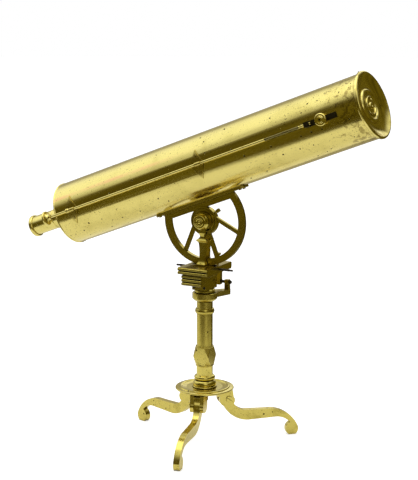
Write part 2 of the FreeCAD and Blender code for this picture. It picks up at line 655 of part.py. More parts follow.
def azimuth_spindle():
    """Shouldered spindle that carries the head and turns in the pillar."""
    return turned([
        (0, 238), (SPINDLE_R - 1, 238), (SPINDLE_R, 239), (SPINDLE_R, COLLAR_TOP + GAP),
        (19.5, COLLAR_TOP + GAP), (21.0, COLLAR_TOP + 1.6), (21.0, HEAD_BOTTOM - 2.4),
        (18.5, HEAD_BOTTOM), (5.0, HEAD_BOTTOM), (5.0, HEAD_BOTTOM + 12), (0, HEAD_BOTTOM + 12)], Z_AXIS)


# ---- pillar and base ----------------------------------------------------------------------
def upper_pillar():
    ring_mid = 273.3
    return turned([
        (0, KNOP_TOP), (PILLAR_R + 1.8, KNOP_TOP),
        ((PILLAR_R + 2.2, KNOP_TOP + 1.4), (PILLAR_R, KNOP_TOP + 3)),
        (PILLAR_R, ring_mid - 5.4), (18.2, ring_mid - 4.6), ((19.6, ring_mid), (18.2, ring_mid + 4.6)),
        (PILLAR_R, ring_mid + 5.4), (PILLAR_R, COLLAR_BOTTOM - 1), (PILLAR_R - 1, COLLAR_BOTTOM),
        (NECK_R, COLLAR_BOTTOM), (NECK_R, COLLAR_TOP - 2), (SPINDLE_R + RUNNING, COLLAR_TOP - 2),
        (SPINDLE_R + RUNNING, 236), (0, 236)], Z_AXIS)


def knop():
    """Square knop whose eight corners are cut back to long triangles."""
    half = KNOP_SIDE / 2
    middle = (KNOP_TOP + KNOP_BOTTOM) / 2
    shape = block(-half, half, -half, half, KNOP_BOTTOM, KNOP_TOP)
    across = 9.0
    rise = KNOP_TOP - middle
    cuts = []
    for side_x in (-1, 1):
        for side_y in (-1, 1):
            for level in (-1, 1):
                tip = FreeCAD.Vector(side_x * half, side_y * half, middle)
                end_z = middle + level * rise
                one = FreeCAD.Vector(side_x * (half - across), side_y * half, end_z)
                two = FreeCAD.Vector(side_x * half, side_y * (half - across), end_z)
                corner = FreeCAD.Vector(side_x * half, side_y * half, end_z)
                cuts.append(wedge(tip, one, two, corner))
    return shape.cut(Part.makeCompound(cuts))


def wedge(tip, one, two, corner):
    """Solid tetrahedron."""
    faces = []
    for trio in ((tip, one, two), (tip, one, corner), (tip, two, corner), (one, two, corner)):
        faces.append(Part.Face(Part.makePolygon(list(trio) + [trio[0]])))
    return Part.Solid(Part.Shell(faces))


def lower_pillar():
    """Short shaft, bead, neck and large roll above the base disc."""
    return turned([
        (0, DISC_TOP), (23.0, DISC_TOP), ((24.6, DISC_TOP + 1.6), (23.0, DISC_TOP + 3.2)),
        ((23.4, DISC_TOP + 8.2), (20.0, 128.6)), (17.6, 129.4), (18.8, 130.2),
        ((21.4, 134.6), (18.8, 139.0)), (16.6, 140.2), (16.6, KNOP_BOTTOM - 3),
        ((18.6, KNOP_BOTTOM - 1.6), (18.2, KNOP_BOTTOM)), (0, KNOP_BOTTOM)], Z_AXIS)


def base_disc():
    """Round base with a thin rim and a raised, hollow-moulded centre."""
    return turned([
        (0, DISC_BOTTOM), (DISC_R - 5, DISC_BOTTOM), (DISC_R, DISC_BOTTOM + 2.4),
        ((DISC_R + 0.8, DISC_BOTTOM + 4.0), (DISC_R, DISC_TOP)), (DISC_R - 7, DISC_TOP + 0.6),
        (DISC_R - 8, DISC_TOP + 2.2), ((DISC_R - 11, DISC_TOP + 2.6), (DISC_R - 14, DISC_TOP + 1.0)),
        (DISC_R - 22, DISC_TOP), (0, DISC_TOP)], Z_AXIS)


def base_nut():
    """Round nut under the disc that draws the pillar down."""
    return turned([
        (0, 97.0), (9.0, 97.0), (10.0, 98.0), (10.0, 104.0), (15.0, 105.0), (15.0, DISC_BOTTOM),
        (0, DISC_BOTTOM)], Z_AXIS)


def clevis(name):
    """Hinge block under the disc: two cheeks joined by a web, with a cross hole for the pin."""
    half = LEG_THICK / 2 + GAP
    cheek = outline([
        (29, DISC_BOTTOM), (29, 92), ((33, 76.5), (48, 73.5)), ((59.6, 80), (58, 92)),
        (55.5, DISC_BOTTOM)])
    sides = []
    for side in (-1, 1):
        plate = cheek.extrude(FreeCAD.Vector(0, CHEEK_THICK, 0))
        plate.translate(FreeCAD.Vector(0, half if side > 0 else -half - CHEEK_THICK, 0))
        sides.append(plate)
    web = block(23, 29.5, -half - CHEEK_THICK, half + CHEEK_THICK, 94, DISC_BOTTOM)
    bridge = block(29, 33, -half - 0.5, half + 0.5, 97, DISC_BOTTOM)
    hole = Part.makeCylinder(3.2, 60, FreeCAD.Vector(HINGE_R, -30, HINGE_Z), Y_AXIS)
    shape = fused(sides + [web, bridge]).cut(hole)
    shape.rotate(CENTRE, Z_AXIS, LEG_AZIMUTHS[name])
    return shape


def leg(name):
    """Cabriole leg with an inward scroll foot and a tongue that turns on the hinge pin."""
    shape = outline([
        (40, 105), (52, 105), (55, 100), (55, 93), ((62, 73), (83, 60.2)), (110, 59.2),
        (131, 58.9), ((174, 47), (198.8, 16)), ((198.4, 7), (193.5, 0)), (178.5, 0),
        ((172.8, 14.0), (181.5, 26.2)), ((166, 37.4), (146, 40.2)), (96, 38.4),
        ((61, 47.5), (41, 68)), (37.5, 78), (37, 100)])
    shape = shape.extrude(FreeCAD.Vector(0, LEG_THICK, 0))
    shape.translate(FreeCAD.Vector(0, -LEG_THICK / 2, 0))
    hole = Part.makeCylinder(3.2 + RUNNING, 60, FreeCAD.Vector(HINGE_R, -30, HINGE_Z), Y_AXIS)
    shape = shape.cut(hole)
    shape.rotate(CENTRE, Z_AXIS, LEG_AZIMUTHS[name])
    return shape


def leg_pin(name):
    """Hinge screw with a large slotted head on one cheek."""
    half = LEG_THICK / 2 + GAP + CHEEK_THICK
    shank = Part.makeCylinder(3.2, 2 * half, FreeCAD.Vector(HINGE_R, -half, HINGE_Z), Y_AXIS)
    head = Part.makeCylinder(6.0, 2.6, FreeCAD.Vector(HINGE_R, -half - 2.6, HINGE_Z), Y_AXIS)
    slot = block(HINGE_R - 7, HINGE_R + 7, -half - 3, -half - 1.5, HINGE_Z - 0.7, HINGE_Z + 0.7)
    slot.rotate(FreeCAD.Vector(HINGE_R, 0, HINGE_Z), Y_AXIS, 35)
    shape = fused([shank, head]).cut(slot)
    shape.rotate(CENTRE, Z_AXIS, LEG_AZIMUTHS[name])
    return shape


def clevis_screws():
    """Screws up through each web into the disc."""
    screws = []
    for azimuth in LEG_AZIMUTHS.values():
        for side in (-9.5, 9.5):
            piece = screw(2.2, 1.4, 1.4, 12.0)
            piece = placed(piece, FreeCAD.Vector(26.2, side, 94), FreeCAD.Vector(0, 0, -1))
            piece.rotate(CENTRE, Z_AXIS, azimuth)
            screws.append(piece)
    return screws


# ---- build --------------------------------------------------------------------------------
def build_tube():
    tube = barrel()
    plate = saddle_plate()
    plate_screws = saddle_screws()
    lozenge_screws = []
    for station in BRACKET_STATIONS.values():
        lozenge_screws += bracket_screws(station)
    tube = tube.cut(Part.makeCompound(lozenge_screws))
    keep_tube("tube_barrel", tube)
    keep_tube("rear_plate", rear_plate())
    keep_tube("eyepiece_flange", eyepiece_flange())
    keep_tube("eyepiece_barrel", eyepiece_barrel())
    keep_tube("eyepiece_cap", eyepiece_cap())
    keep_tube("eye_lens", lens(10.0, 2.0, -84.0, 2.2))
    keep_tube("eye_lens_cell", ring(10.0, 17.55, -88.5, -81.0))
    keep_tube("field_lens", lens(15.0, 2.5, -10.0, 2.6))
    keep_tube("field_lens_cell", field_cell())
    keep_tube("primary_mirror", primary_mirror())
    keep_tube("mirror_cell", mirror_cell())
    keep_tube("mirror_springs", mirror_springs())
    keep_tube("baffle_tube", baffle())
    mirror, cell, arm = secondary_parts()
    guide, slide, stud, nut_block = slider_parts()
    keep_tube("secondary_mirror", mirror)
    keep_tube("secondary_cell", cell)
    keep_tube("secondary_arm", arm.cut(guide))
    keep_tube("slider_guide", fused([guide, stud.cut(arm)]))
    keep_tube("slider_plate", slide)
    keep_tube("slider_nut", nut_block)
    keep_tube("clamp_nut", clamp_nut())
    rod, knob = focus_pieces()
    keep_tube("focus_rod", rod)
    keep_tube("focus_knob", knob)
    for name, station in BRACKET_STATIONS.items():
        foot = bracket(station).cut(Part.makeCompound(lozenge_screws))
        keep_tube(name + "_rod_bracket", foot)
    keep_tube("bracket_screws", Part.makeCompound(lozenge_screws))
    keep_tube("front_cap", fused([front_cap(), cap_pin()]))
    keep_tube("saddle_plate", plate.cut(Part.makeCompound(plate_screws)))
    keep_tube("saddle_screws", Part.makeCompound(plate_screws))
    keep_sector("altitude_sector", sector().cut(hub_screw()))
    keep_sector("trunnion_shaft", trunnion_shaft().cut(hub_screw()))
    keep_sector("hub_screw", hub_screw())
    seat = UPRIGHT_INNER + UPRIGHT_DEPTH + GAP
    for name, side in (("near", -1), ("far", 1)):
        cap = trunnion_cap()
        cap.rotate(CENTRE, Z_AXIS, 90 * side)
        cap.translate(FreeCAD.Vector(0, side * seat, 0))
        keep_sector(name + "_trunnion_cap", cap)


def build_head():
    near = upright()
    far = near.mirror(CENTRE, Y_AXIS)
    foot_screws = Part.makeCompound(upright_screws())
    face_screws = Part.makeCompound(body_screws())
    slab = cornice()
    core = head_body()
    lug = tangent_lug()
    thumb = pressure_screw().translated(FreeCAD.Vector(8, 40, CORNICE_TOP - 10))
    sleeve = Part.makeCylinder(2.0 + RUNNING, 12, FreeCAD.Vector(8, 40, CORNICE_TOP - 10.3), Z_AXIS)
    keep("near_upright", near.cut(foot_screws))
    keep("far_upright", far.cut(foot_screws))
    keep("upright_screws", foot_screws)
    keep("cornice_slab", slab.cut(Part.makeCompound([foot_screws, sleeve])))
    keep("head_body", core.cut(face_screws))
    keep("reeded_box", reeded_box())
    keep("body_screws", face_screws)
    keep("tangent_lug", lug.cut(core))
    keep("pressure_screw", thumb)
    keep("altitude_worm", altitude_worm())
    keep("azimuth_spindle", azimuth_spindle())
    keep("azimuth_collar", azimuth_collar())
    keep("collar_post", collar_post())
    keep("tangent_screw", tangent_screw())


def build_base():
    keep("upper_pillar", upper_pillar())
    keep("knop", knop())
    keep("lower_pillar", lower_pillar())
    under = Part.makeCompound(clevis_screws())
    keep("base_disc", base_disc().cut(under))
    keep("base_nut", base_nut())
    keep("clevis_screws", under)
    for name in LEG_AZIMUTHS:
        keep("leg_clevis_" + name, clevis(name).cut(under))
        keep("leg_" + name, leg(name))
    keep("leg_pins", Part.makeCompound([leg_pin(name) for name in LEG_AZIMUTHS]))


build_tube()
build_head()
build_base()

os.makedirs("parts", exist_ok=True)
for node, solid in pieces.items():
    solid.exportStep("parts/" + node + ".step")
    if not solid.isValid() or solid.Volume <= 0:
        print("bad solid:", node)
print(len(pieces), "pieces")
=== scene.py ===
"""Looks of a brass Gregorian telescope on a pillar stand with three folding legs.

Everything is in metres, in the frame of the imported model, with +Z up.  Each sub-assembly is a class
that builds its own new pieces and dresses them and its carried-over nodes.
"""
import json
import logging
import math
from dataclasses import dataclass, field
from enum import Enum

import bpy
from mathutils import Matrix, Vector


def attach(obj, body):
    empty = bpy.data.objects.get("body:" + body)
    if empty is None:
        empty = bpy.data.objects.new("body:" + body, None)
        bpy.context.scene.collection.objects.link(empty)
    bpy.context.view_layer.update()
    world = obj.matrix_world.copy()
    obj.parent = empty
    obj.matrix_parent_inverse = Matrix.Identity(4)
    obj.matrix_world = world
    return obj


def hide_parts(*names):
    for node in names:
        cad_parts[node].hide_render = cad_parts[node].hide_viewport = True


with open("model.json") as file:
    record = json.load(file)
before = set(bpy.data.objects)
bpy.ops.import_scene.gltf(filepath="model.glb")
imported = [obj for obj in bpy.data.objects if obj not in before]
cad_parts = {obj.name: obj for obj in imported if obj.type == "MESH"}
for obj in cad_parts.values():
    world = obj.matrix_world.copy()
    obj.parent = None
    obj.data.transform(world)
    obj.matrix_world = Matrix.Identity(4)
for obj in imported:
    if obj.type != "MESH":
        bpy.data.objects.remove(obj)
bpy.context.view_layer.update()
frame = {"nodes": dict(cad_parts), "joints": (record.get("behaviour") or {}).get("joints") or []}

LOG = logging.getLogger("telescope")
MM = 0.001
MERGE = 2e-6               # vertices closer than this, in metres, are one
ROOT_SINK = 0.15           # how deep a thread's root lies in its core, in millimetres
ROOT_SHARE = 0.46          # half width of a thread at its root and crest, as a share of its pitch
CREST_SHARE = 0.12
Colour = tuple[float, float, float, float]
Piece = bpy.types.Object
Tree = bpy.types.NodeTree
Node = bpy.types.Node
Socket = bpy.types.NodeSocket
Material = bpy.types.Material


# ---- names, axes and small helpers --------------------------------------------------------
class Slot(Enum):
    """Material slots of the record."""

    POLISHED = "polished_brass"
    SATIN = "satin_brass"
    DARK = "dark_steel"
    SPRING = "spring_steel"
    SPECULUM = "speculum"
    GLASS = "lens_glass"


class Grain(Enum):
    """Direction of the fine marks that a tool left in the metal."""

    DRAWN = "lines along the axis"
    TURNED = "rings about the axis"
    FILED = "short strokes on flats"


@dataclass(frozen=True)
class Axis:
    """A line in the model that pieces are turned, drawn or screwed about.

    Args:
        origin: A point on the line.
        direction: Unit vector along it.
    """

    origin: Vector
    direction: Vector

    def matrix(self, station: float = 0.0) -> Matrix:
        """Matrix that takes local Z onto the axis, its zero at a station in metres along it."""
        turn = self.direction.to_track_quat("Z", "Y").to_matrix().to_4x4()
        return Matrix.Translation(self.origin + self.direction * station) @ turn


def joint_axis(name: str) -> Axis:
    """Line of one of the model's joints at rest."""
    joint = next(j for j in frame["joints"] if j["name"] == name)
    return Axis(Vector(joint["pos_m"]), Vector(joint["axis"]).normalized())


PILLAR = joint_axis("azimuth")
TRUNNION = joint_axis("altitude")
TUBE = joint_axis("dust_cap_off")
FOCUS = joint_axis("focus_spin")
CLAMP = joint_axis("clamp_nut_turn")
WORM = joint_axis("worm_spin")
TANGENT = joint_axis("tangent_spin")
PRESSURE = joint_axis("pressure_screw_turn")
UPRIGHT = Axis(Vector((0.0, 0.0, 0.0)), Vector((0.0, 0.0, 1.0)))


def only(piece: Piece) -> None:
    """Select one object alone and make it the active one.

    Args:
        piece: The object to work on.
    """
    bpy.ops.object.select_all(action="DESELECT")
    piece.select_set(True)
    bpy.context.view_layer.objects.active = piece


def edit(piece: Piece, everything: bool = True) -> None:
    """Open a piece in edit mode with all of it, or nothing, selected.

    Args:
        piece: The object to open.
        everything: True to select the whole mesh.
    """
    only(piece)
    bpy.ops.object.mode_set(mode="EDIT")
    bpy.ops.mesh.select_all(action="SELECT" if everything else "DESELECT")


def close_edit() -> None:
    """Leave edit mode."""
    bpy.ops.object.mode_set(mode="OBJECT")


def apply_modifier(piece: Piece, kind: str, **settings: object) -> None:
    """Add one modifier to a piece, set it and apply it.

    Args:
        piece: The object to change.
        kind: Blender's name of the modifier type.
        **settings: Its properties.
    """
    only(piece)
    made = piece.modifiers.new(kind.title(), kind)
    for key, value in settings.items():
        setattr(made, key, value)
    bpy.ops.object.modifier_apply(modifier=made.name)


def smooth(piece: Piece, angle: float = 35.0) -> None:
    """Shade a piece smooth but for edges sharper than an angle in degrees."""
    only(piece)
    bpy.ops.object.shade_smooth_by_angle(angle=math.radians(angle))


def settle(piece: Piece, axis: Axis, station: float = 0.0) -> None:
    """Put a piece that was made along local Z on its axis, with its place in its mesh.

    Args:
        piece: The object to place.
        axis: Line that it lies on.
        station: Where its zero comes to lie along the line, in metres.
    """
    only(piece)
    piece.matrix_world = axis.matrix(station)
    bpy.ops.object.transform_apply(location=True, rotation=True, scale=True)


def stands_for(piece: Piece, nodes: list[str], body: str) -> None:
    """Let a piece replace CAD nodes and ride on their body.

    Args:
        piece: The new object.
        nodes: Names of the nodes that it stands for.
        body: Name of the body that carries it.
    """
    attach(piece, body)
    if nodes:
        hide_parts(*nodes)
    LOG.info("%s: %d faces, on %s", piece.name, len(piece.data.polygons), body)


# ---- making shapes ------------------------------------------------------------------------
Profile = list[tuple[float, float]]


def turned(name: str, profile: Profile, steps: int = 96, closed: bool = True) -> Piece:
    """Turn a profile about local Z, as on a lathe.

    Args:
        name: Name of the new object.
        profile: Points (radius, height) in millimetres.
        steps: Number of faces round the axis.
        closed: True to join the last point to the first, for a piece with a bore.

    Returns:
        The new object, at the origin.
    """
    first = Vector((profile[0][0] * MM, 0.0, profile[0][1] * MM))
    bpy.ops.object.select_all(action="DESELECT")
    bpy.ops.mesh.primitive_plane_add(size=MM, location=(0.0, 0.0, 0.0))
    piece = bpy.context.object
    piece.name = name
    piece.data.name = name
    edit(piece)
    bpy.ops.mesh.merge(type="CENTER")
    bpy.ops.transform.translate(value=first)
    here = first
    for radius, height in profile[1:]:
        there = Vector((radius * MM, 0.0, height * MM))
        bpy.ops.mesh.extrude_region_move(TRANSFORM_OT_translate={"value": there - here})
        here = there
    bpy.ops.mesh.select_all(action="SELECT")
    if closed:
        close_edit()
        for vertex in piece.data.vertices:
            vertex.select = (vertex.co - first).length < 1e-9 or (vertex.co - here).length < 1e-9
        bpy.ops.object.mode_set(mode="EDIT")
        bpy.ops.mesh.edge_face_add()
        bpy.ops.mesh.select_all(action="SELECT")
    bpy.ops.mesh.spin(steps=steps, angle=math.tau, center=(0.0, 0.0, 0.0), axis=(0.0, 0.0, 1.0))
    bpy.ops.mesh.select_all(action="SELECT")
    bpy.ops.mesh.remove_doubles(threshold=MERGE)
    bpy.ops.mesh.normals_make_consistent(inside=False)
    close_edit()
    smooth(piece)
    return piece


def milled(piece: Piece, radius: float, low: float, high: float, depth: float, steps: int) -> None:
    """Cut a milled edge into a turned piece that still stands on local Z.

    Args:
        piece: The turned object.
        radius: Points outside this radius, in millimetres, belong to the edge.
        low: Lower end of the milled band in millimetres.
        high: Upper end of the band.
        depth: Depth of the cuts in millimetres.
        steps: Number of faces that the piece was turned with.
    """
    edit(piece, everything=False)
    close_edit()
    for vertex in piece.data.vertices:
        away = math.hypot(vertex.co.x, vertex.co.y) / MM
        index = round(math.atan2(vertex.co.y, vertex.co.x) / math.tau * steps)
        vertex.select = away > radius and low < vertex.co.z / MM < high and index % 2 == 1
    bpy.ops.object.mode_set(mode="EDIT")
    shrink = 1.0 - depth / radius
    bpy.ops.transform.resize(value=(shrink, shrink, 1.0), center_override=(0.0, 0.0, 0.0))
    close_edit()
    smooth(piece, 25.0)


def thread(name: str, core: float, crest: float, pitch: float, start: float, turns: int) -> Piece:
    """Helical ridge of a screw about local Z.

    Args:
        name: Name of the new object.
        core: Radius at the root, in millimetres.
        crest: Radius at the top.
        pitch: Rise of one turn.
        start: Height where it begins.
        turns: Number of whole turns.

    Returns:
        The ridge, closed at both ends.
    """
    bpy.ops.object.select_all(action="DESELECT")
    bpy.ops.mesh.primitive_plane_add(size=1.0, location=(0.0, 0.0, 0.0), rotation=(math.pi / 2, 0.0, 0.0))
    piece = bpy.context.object
    piece.name = name
    piece.data.name = name
    bpy.ops.object.transform_apply(location=True, rotation=True, scale=True)
    inner, outer = (core - ROOT_SINK) * MM, crest * MM
    for vertex in piece.data.vertices:
        root = vertex.co.x < 0.0
        half = (ROOT_SHARE if root else CREST_SHARE) * pitch * MM
        vertex.co = Vector((inner if root else outer, 0.0, start * MM + math.copysign(half, vertex.co.z)))
    edit(piece)
    bpy.ops.mesh.delete(type="ONLY_FACE")
    close_edit()
    apply_modifier(piece, "SCREW", angle=math.tau, screw_offset=pitch * MM, iterations=turns, axis="Z",
                   steps=28, render_steps=28, use_merge_vertices=False)
    edit(piece, everything=False)
    bpy.ops.mesh.select_non_manifold()
    bpy.ops.mesh.fill()
    bpy.ops.mesh.select_all(action="SELECT")
    bpy.ops.mesh.normals_make_consistent(inside=False)
    close_edit()
    smooth(piece, 30.0)
    return piece


def joined(pieces: list[Piece]) -> Piece:
    """Join several objects into the first one.

    Args:
        pieces: Objects to join.

    Returns:
        The first object, with all their meshes.
    """
    only(pieces[0])
    for piece in pieces[1:]:
        piece.select_set(True)
    bpy.ops.object.join()
    return pieces[0]


def mark_outward_edges(piece: Piece, limit: float) -> None:
    """Give the outward edges that are sharper than a limit full bevel weight.

    Args:
        piece: The object whose edges are marked.
        limit: Angle in degrees.
    """
    touching: dict[tuple[int, int], list[bpy.types.MeshPolygon]] = {}
    for face in piece.data.polygons:
        for key in face.edge_keys:
            touching.setdefault(key, []).append(face)
    weights = piece.data.attributes.new("bevel_weight_edge", "FLOAT", "EDGE")
    for line in piece.data.edges:
        faces = touching.get(line.key, [])
        if len(faces) != 2:
            continue
        first, second = faces
        sharp = first.normal.angle(second.normal, 0.0) > math.radians(limit)
        outward = (second.center - first.center).dot(first.normal) < 0.0
        weights.data[line.index].value = float(sharp and outward)


def eased(node: str, width: float, limit: float = 32.0, segments: int = 3) -> Piece:
    """Copy of a CAD node with its outward edges rounded over, as hand finishing leaves them.

    Args:
        node: Name of the node to copy.
        width: Width of the rounding in millimetres.
        limit: Edges sharper than this angle, in degrees, are rounded.
        segments: Steps of the rounding.

    Returns:
        The new object, in the node's place.
    """
    piece = bpy.data.objects.new(node + "_eased", frame["nodes"][node].data.copy())
    piece.data.name = piece.name
    bpy.context.scene.collection.objects.link(piece)
    only(piece)
    bpy.ops.mesh.customdata_custom_splitnormals_clear()
    edit(piece)
    bpy.ops.mesh.remove_doubles(threshold=MERGE)
    bpy.ops.mesh.dissolve_limited(angle_limit=math.radians(0.4))
    close_edit()
    mark_outward_edges(piece, limit)
    apply_modifier(piece, "BEVEL", width=width * MM, segments=segments, limit_method="WEIGHT", profile=0.5,
                   miter_outer="MITER_ARC")
    smooth(piece, 40.0)
    apply_modifier(piece, "WEIGHTED_NORMAL", keep_sharp=True, weight=80)
    return piece


# ---- shader groups ------------------------------------------------------------------------
def node(tree: Tree, kind: str, inputs: dict | None = None, **settings: object) -> Node:
    """Add one shader node, set it and link what is given as a socket.

    Args:
        tree: The tree to add it to.
        kind: Blender's type name without its ShaderNode prefix.
        inputs: Values or output sockets by input name or number.
        **settings: Properties of the node.

    Returns:
        The new node.
    """
    made = tree.nodes.new("ShaderNode" + kind)
    for key, value in settings.items():
        setattr(made, key, value)
    for key, value in (inputs or {}).items():
        if isinstance(value, Socket):
            tree.links.new(value, made.inputs[key])
        else:
            made.inputs[key].default_value = value
    return made


def maths(tree: Tree, operation: str, *values: object, clamp: bool = False) -> Socket:
    """Add a Math node over numbers or sockets, clamped to 0..1 if asked, and return its result."""
    made = node(tree, "Math", dict(enumerate(values)), operation=operation, use_clamp=clamp)
    return made.outputs[0]


def ramp(tree: Tree, value: Socket, low: float, high: float) -> Socket:
    """Soft step of a value from 0 at low to 1 at high; low may be the larger."""
    made = node(tree, "MapRange", {"Value": value, "From Min": low, "From Max": high},
                interpolation_type="SMOOTHSTEP")
    return made.outputs["Result"]


def blend(tree: Tree, factor: object, first: object, second: object) -> Socket:
    """Mix two colours or colour sockets, with factor 0 for the first."""
    made = node(tree, "Mix", {0: factor, 6: first, 7: second}, data_type="RGBA")
    return made.outputs[2]


def new_group(name: str, inputs: dict[str, object],
              outputs: list[str]) -> tuple[Tree, Node, Node]:
    """Start a shader node group with named sockets.

    Args:
        name: Name of the group.
        inputs: Default values by name; None makes a vector socket.
        outputs: Names of the float outputs.

    Returns:
        The group's tree, its input node and its output node.
    """
    tree = bpy.data.node_groups.new(name, "ShaderNodeTree")
    for key, value in inputs.items():
        kind = "NodeSocketVector" if value is None else "NodeSocketFloat"
        socket = tree.interface.new_socket(name=key, in_out="INPUT", socket_type=kind)
        if value is not None:
            socket.default_value = value
    for key in outputs:
        tree.interface.new_socket(name=key, in_out="OUTPUT", socket_type="NodeSocketFloat")
    return tree, tree.nodes.new("NodeGroupInput"), tree.nodes.new("NodeGroupOutput")


class Effects:
    """The shader groups that the finishes share, each built once."""

    def __init__(self) -> None:
        """Build all the groups."""
        self.grain = {
            Grain.DRAWN: self._stretched("drawn_lines", (1.0, 1.0, 0.012)),
            Grain.TURNED: self._turned_rings(),
            Grain.FILED: self._stretched("filed_strokes", (0.16, 1.0, 0.55)),
        }
        self.age = self._age()
        self.scratches = self._scratches()
        self.edge_rub = self._edge_rub()
        # Group of the painted shade in corners and hollows.
        self.grime = self._hollow_shade_group()

    def _stretched(self, name: str, stretch: tuple[float, float, float]) -> Tree:
        """Fine marks that run along one direction.

        Args:
            name: Name of the group.
            stretch: Scale of the pattern along X, Y and Z.

        Returns:
            Group with a Vector and a Fineness input and a Height output.
        """
        tree, start, end = new_group(name, {"Vector": None, "Fineness": 1200.0}, ["Height"])
        scaled = node(tree, "VectorMath", {0: start.outputs["Vector"], 1: stretch}, operation="MULTIPLY")
        noise = node(tree, "TexNoise", {"Vector": scaled.outputs[0], "Scale": start.outputs["Fineness"],
                                        "Detail": 4.0, "Roughness": 0.65})
        tree.links.new(noise.outputs["Fac"], end.inputs["Height"])
        return tree

    def _turned_rings(self) -> Tree:
        """Lathe marks: rings about local Z.

        Returns:
            Group with a Vector and a Fineness input and a Height output.
        """
        tree, start, end = new_group("turned_rings", {"Vector": None, "Fineness": 1200.0}, ["Height"])
        parts = node(tree, "SeparateXYZ", {0: start.outputs["Vector"]})
        flat = node(tree, "CombineXYZ", {"X": parts.outputs["X"], "Y": parts.outputs["Y"]})
        away = node(tree, "VectorMath", {0: flat.outputs[0]}, operation="LENGTH")
        drift = node(tree, "VectorMath", {0: flat.outputs[0], "Scale": 0.02}, operation="SCALE")
        rings = node(tree, "CombineXYZ", {"X": away.outputs["Value"], "Z": parts.outputs["Z"]})
        spot = node(tree, "VectorMath", {0: rings.outputs[0], 1: drift.outputs[0]}, operation="ADD")
        noise = node(tree, "TexNoise", {"Vector": spot.outputs[0], "Scale": start.outputs["Fineness"],
                                        "Detail": 3.0, "Roughness": 0.6})
        tree.links.new(noise.outputs["Fac"], end.inputs["Height"])
        return tree

    def _age(self) -> Tree:
        """Tarnish clouds, black pits, fine stipple and mottling.

        Returns:
            Group with Vector, Cloud Size and Pit Density, and outputs Tarnish, Pits, Stipple and Mottle.
        """
        tree, start, end = new_group("brass_age", {"Vector": None, "Cloud Size": 0.05, "Pit Density": 0.2},
                                     ["Tarnish", "Pits", "Stipple", "Mottle"])
        vector = start.outputs["Vector"]
        scale = maths(tree, "DIVIDE", 1.0, start.outputs["Cloud Size"])
        clouds = node(tree, "TexNoise", {"Vector": vector, "Scale": scale, "Detail": 6.0, "Roughness": 0.6,
                                         "Distortion": 0.4})
        tree.links.new(ramp(tree, clouds.outputs["Fac"], 0.48, 0.72), end.inputs["Tarnish"])
        swarm = node(tree, "TexNoise", {"Vector": vector, "Scale": 13.0, "Detail": 2.0})
        density = maths(tree, "MULTIPLY", start.outputs["Pit Density"],
                        maths(tree, "MULTIPLY_ADD", ramp(tree, swarm.outputs["Fac"], 0.45, 0.65), 1.3, 0.3))
        ragged = node(tree, "TexNoise", {"Vector": vector, "Scale": 700.0, "Detail": 2.0})
        shift = node(tree, "VectorMath", {0: ragged.outputs["Color"], "Scale": 0.0022}, operation="SCALE")
        torn = node(tree, "VectorMath", {0: vector, 1: shift.outputs[0]}, operation="ADD")
        for name, scale, least, spread in (("Pits", 95.0, 0.04, 0.17), ("Stipple", 300.0, 0.12, 0.25)):
            cells = node(tree, "TexVoronoi", {"Vector": torn.outputs[0], "Scale": scale})
            chance = node(tree, "SeparateXYZ", {0: cells.outputs["Color"]})
            rare = maths(tree, "LESS_THAN", chance.outputs["X"], density)
            steep = maths(tree, "POWER", chance.outputs["Y"], 2.5)
            size = maths(tree, "MULTIPLY_ADD", steep, spread, least)
            dot = maths(tree, "LESS_THAN", cells.outputs["Distance"], size)
            tree.links.new(maths(tree, "MULTIPLY", rare, dot), end.inputs[name])
        mottle = node(tree, "TexNoise", {"Vector": vector, "Scale": 520.0, "Detail": 5.0, "Roughness": 0.7})
        tree.links.new(ramp(tree, mottle.outputs["Fac"], 0.35, 0.75), end.inputs["Mottle"])
        return tree

    def _scratches(self) -> Tree:
        """Sparse long scratches in two directions.

        Returns:
            Group with a Vector and a Spacing input and a Mask output.
        """
        tree, start, end = new_group("long_scratches", {"Vector": None, "Spacing": 0.012}, ["Mask"])
        scale = maths(tree, "DIVIDE", 1.0, start.outputs["Spacing"])
        found = []
        for turn, stretch in (((0.25, 0.1, 0.0), (1.0, 1.0, 0.05)), ((1.1, 0.5, 0.7), (1.0, 1.0, 0.08))):
            laid = node(tree, "Mapping", {"Vector": start.outputs["Vector"], "Rotation": turn,
                                          "Scale": stretch})
            waves = node(tree, "TexNoise", {"Vector": laid.outputs[0], "Scale": scale, "Detail": 1.0})
            line = maths(tree, "ABSOLUTE", maths(tree, "SUBTRACT", waves.outputs["Fac"], 0.5))
            gate = node(tree, "TexNoise", {"Vector": laid.outputs[0], "Scale": 30.0, "Detail": 2.0})
            there = ramp(tree, gate.outputs["Fac"], 0.55, 0.62)
            found.append(maths(tree, "MULTIPLY", ramp(tree, line, 0.006, 0.002), there))
        tree.links.new(maths(tree, "MAXIMUM", *found), end.inputs["Mask"])
        return tree

    def _edge_rub(self) -> Tree:
        """Mask of the edges that hands and cloths have rubbed bright.

        Returns:
            Group with a Width input and a Mask output.
        """
        tree, start, end = new_group("edge_rub", {"Width": 0.0012}, ["Mask"])
        rounded = node(tree, "Bevel", {"Radius": start.outputs["Width"]}, samples=4)
        surface = node(tree, "NewGeometry")
        match = node(tree, "VectorMath", {0: rounded.outputs[0], 1: surface.outputs["Normal"]},
                     operation="DOT_PRODUCT")
        tree.links.new(ramp(tree, match.outputs["Value"], 0.995, 0.90), end.inputs["Mask"])
        return tree

    def _hollow_shade_group(self) -> Tree:
        """Mask of the corners and hollows, found by ambient occlusion, where painted shade darkens the metal.

        Returns:
            Group with a Reach input and a Mask output.
        """
        tree, start, end = new_group("painted_hollow_shade", {"Reach": 0.005}, ["Mask"])
        hidden = node(tree, "AmbientOcclusion", {"Distance": start.outputs["Reach"]}, samples=6)
        tree.links.new(ramp(tree, hidden.outputs["AO"], 0.82, 0.42), end.inputs["Mask"])
        return tree


EFFECTS = Effects()


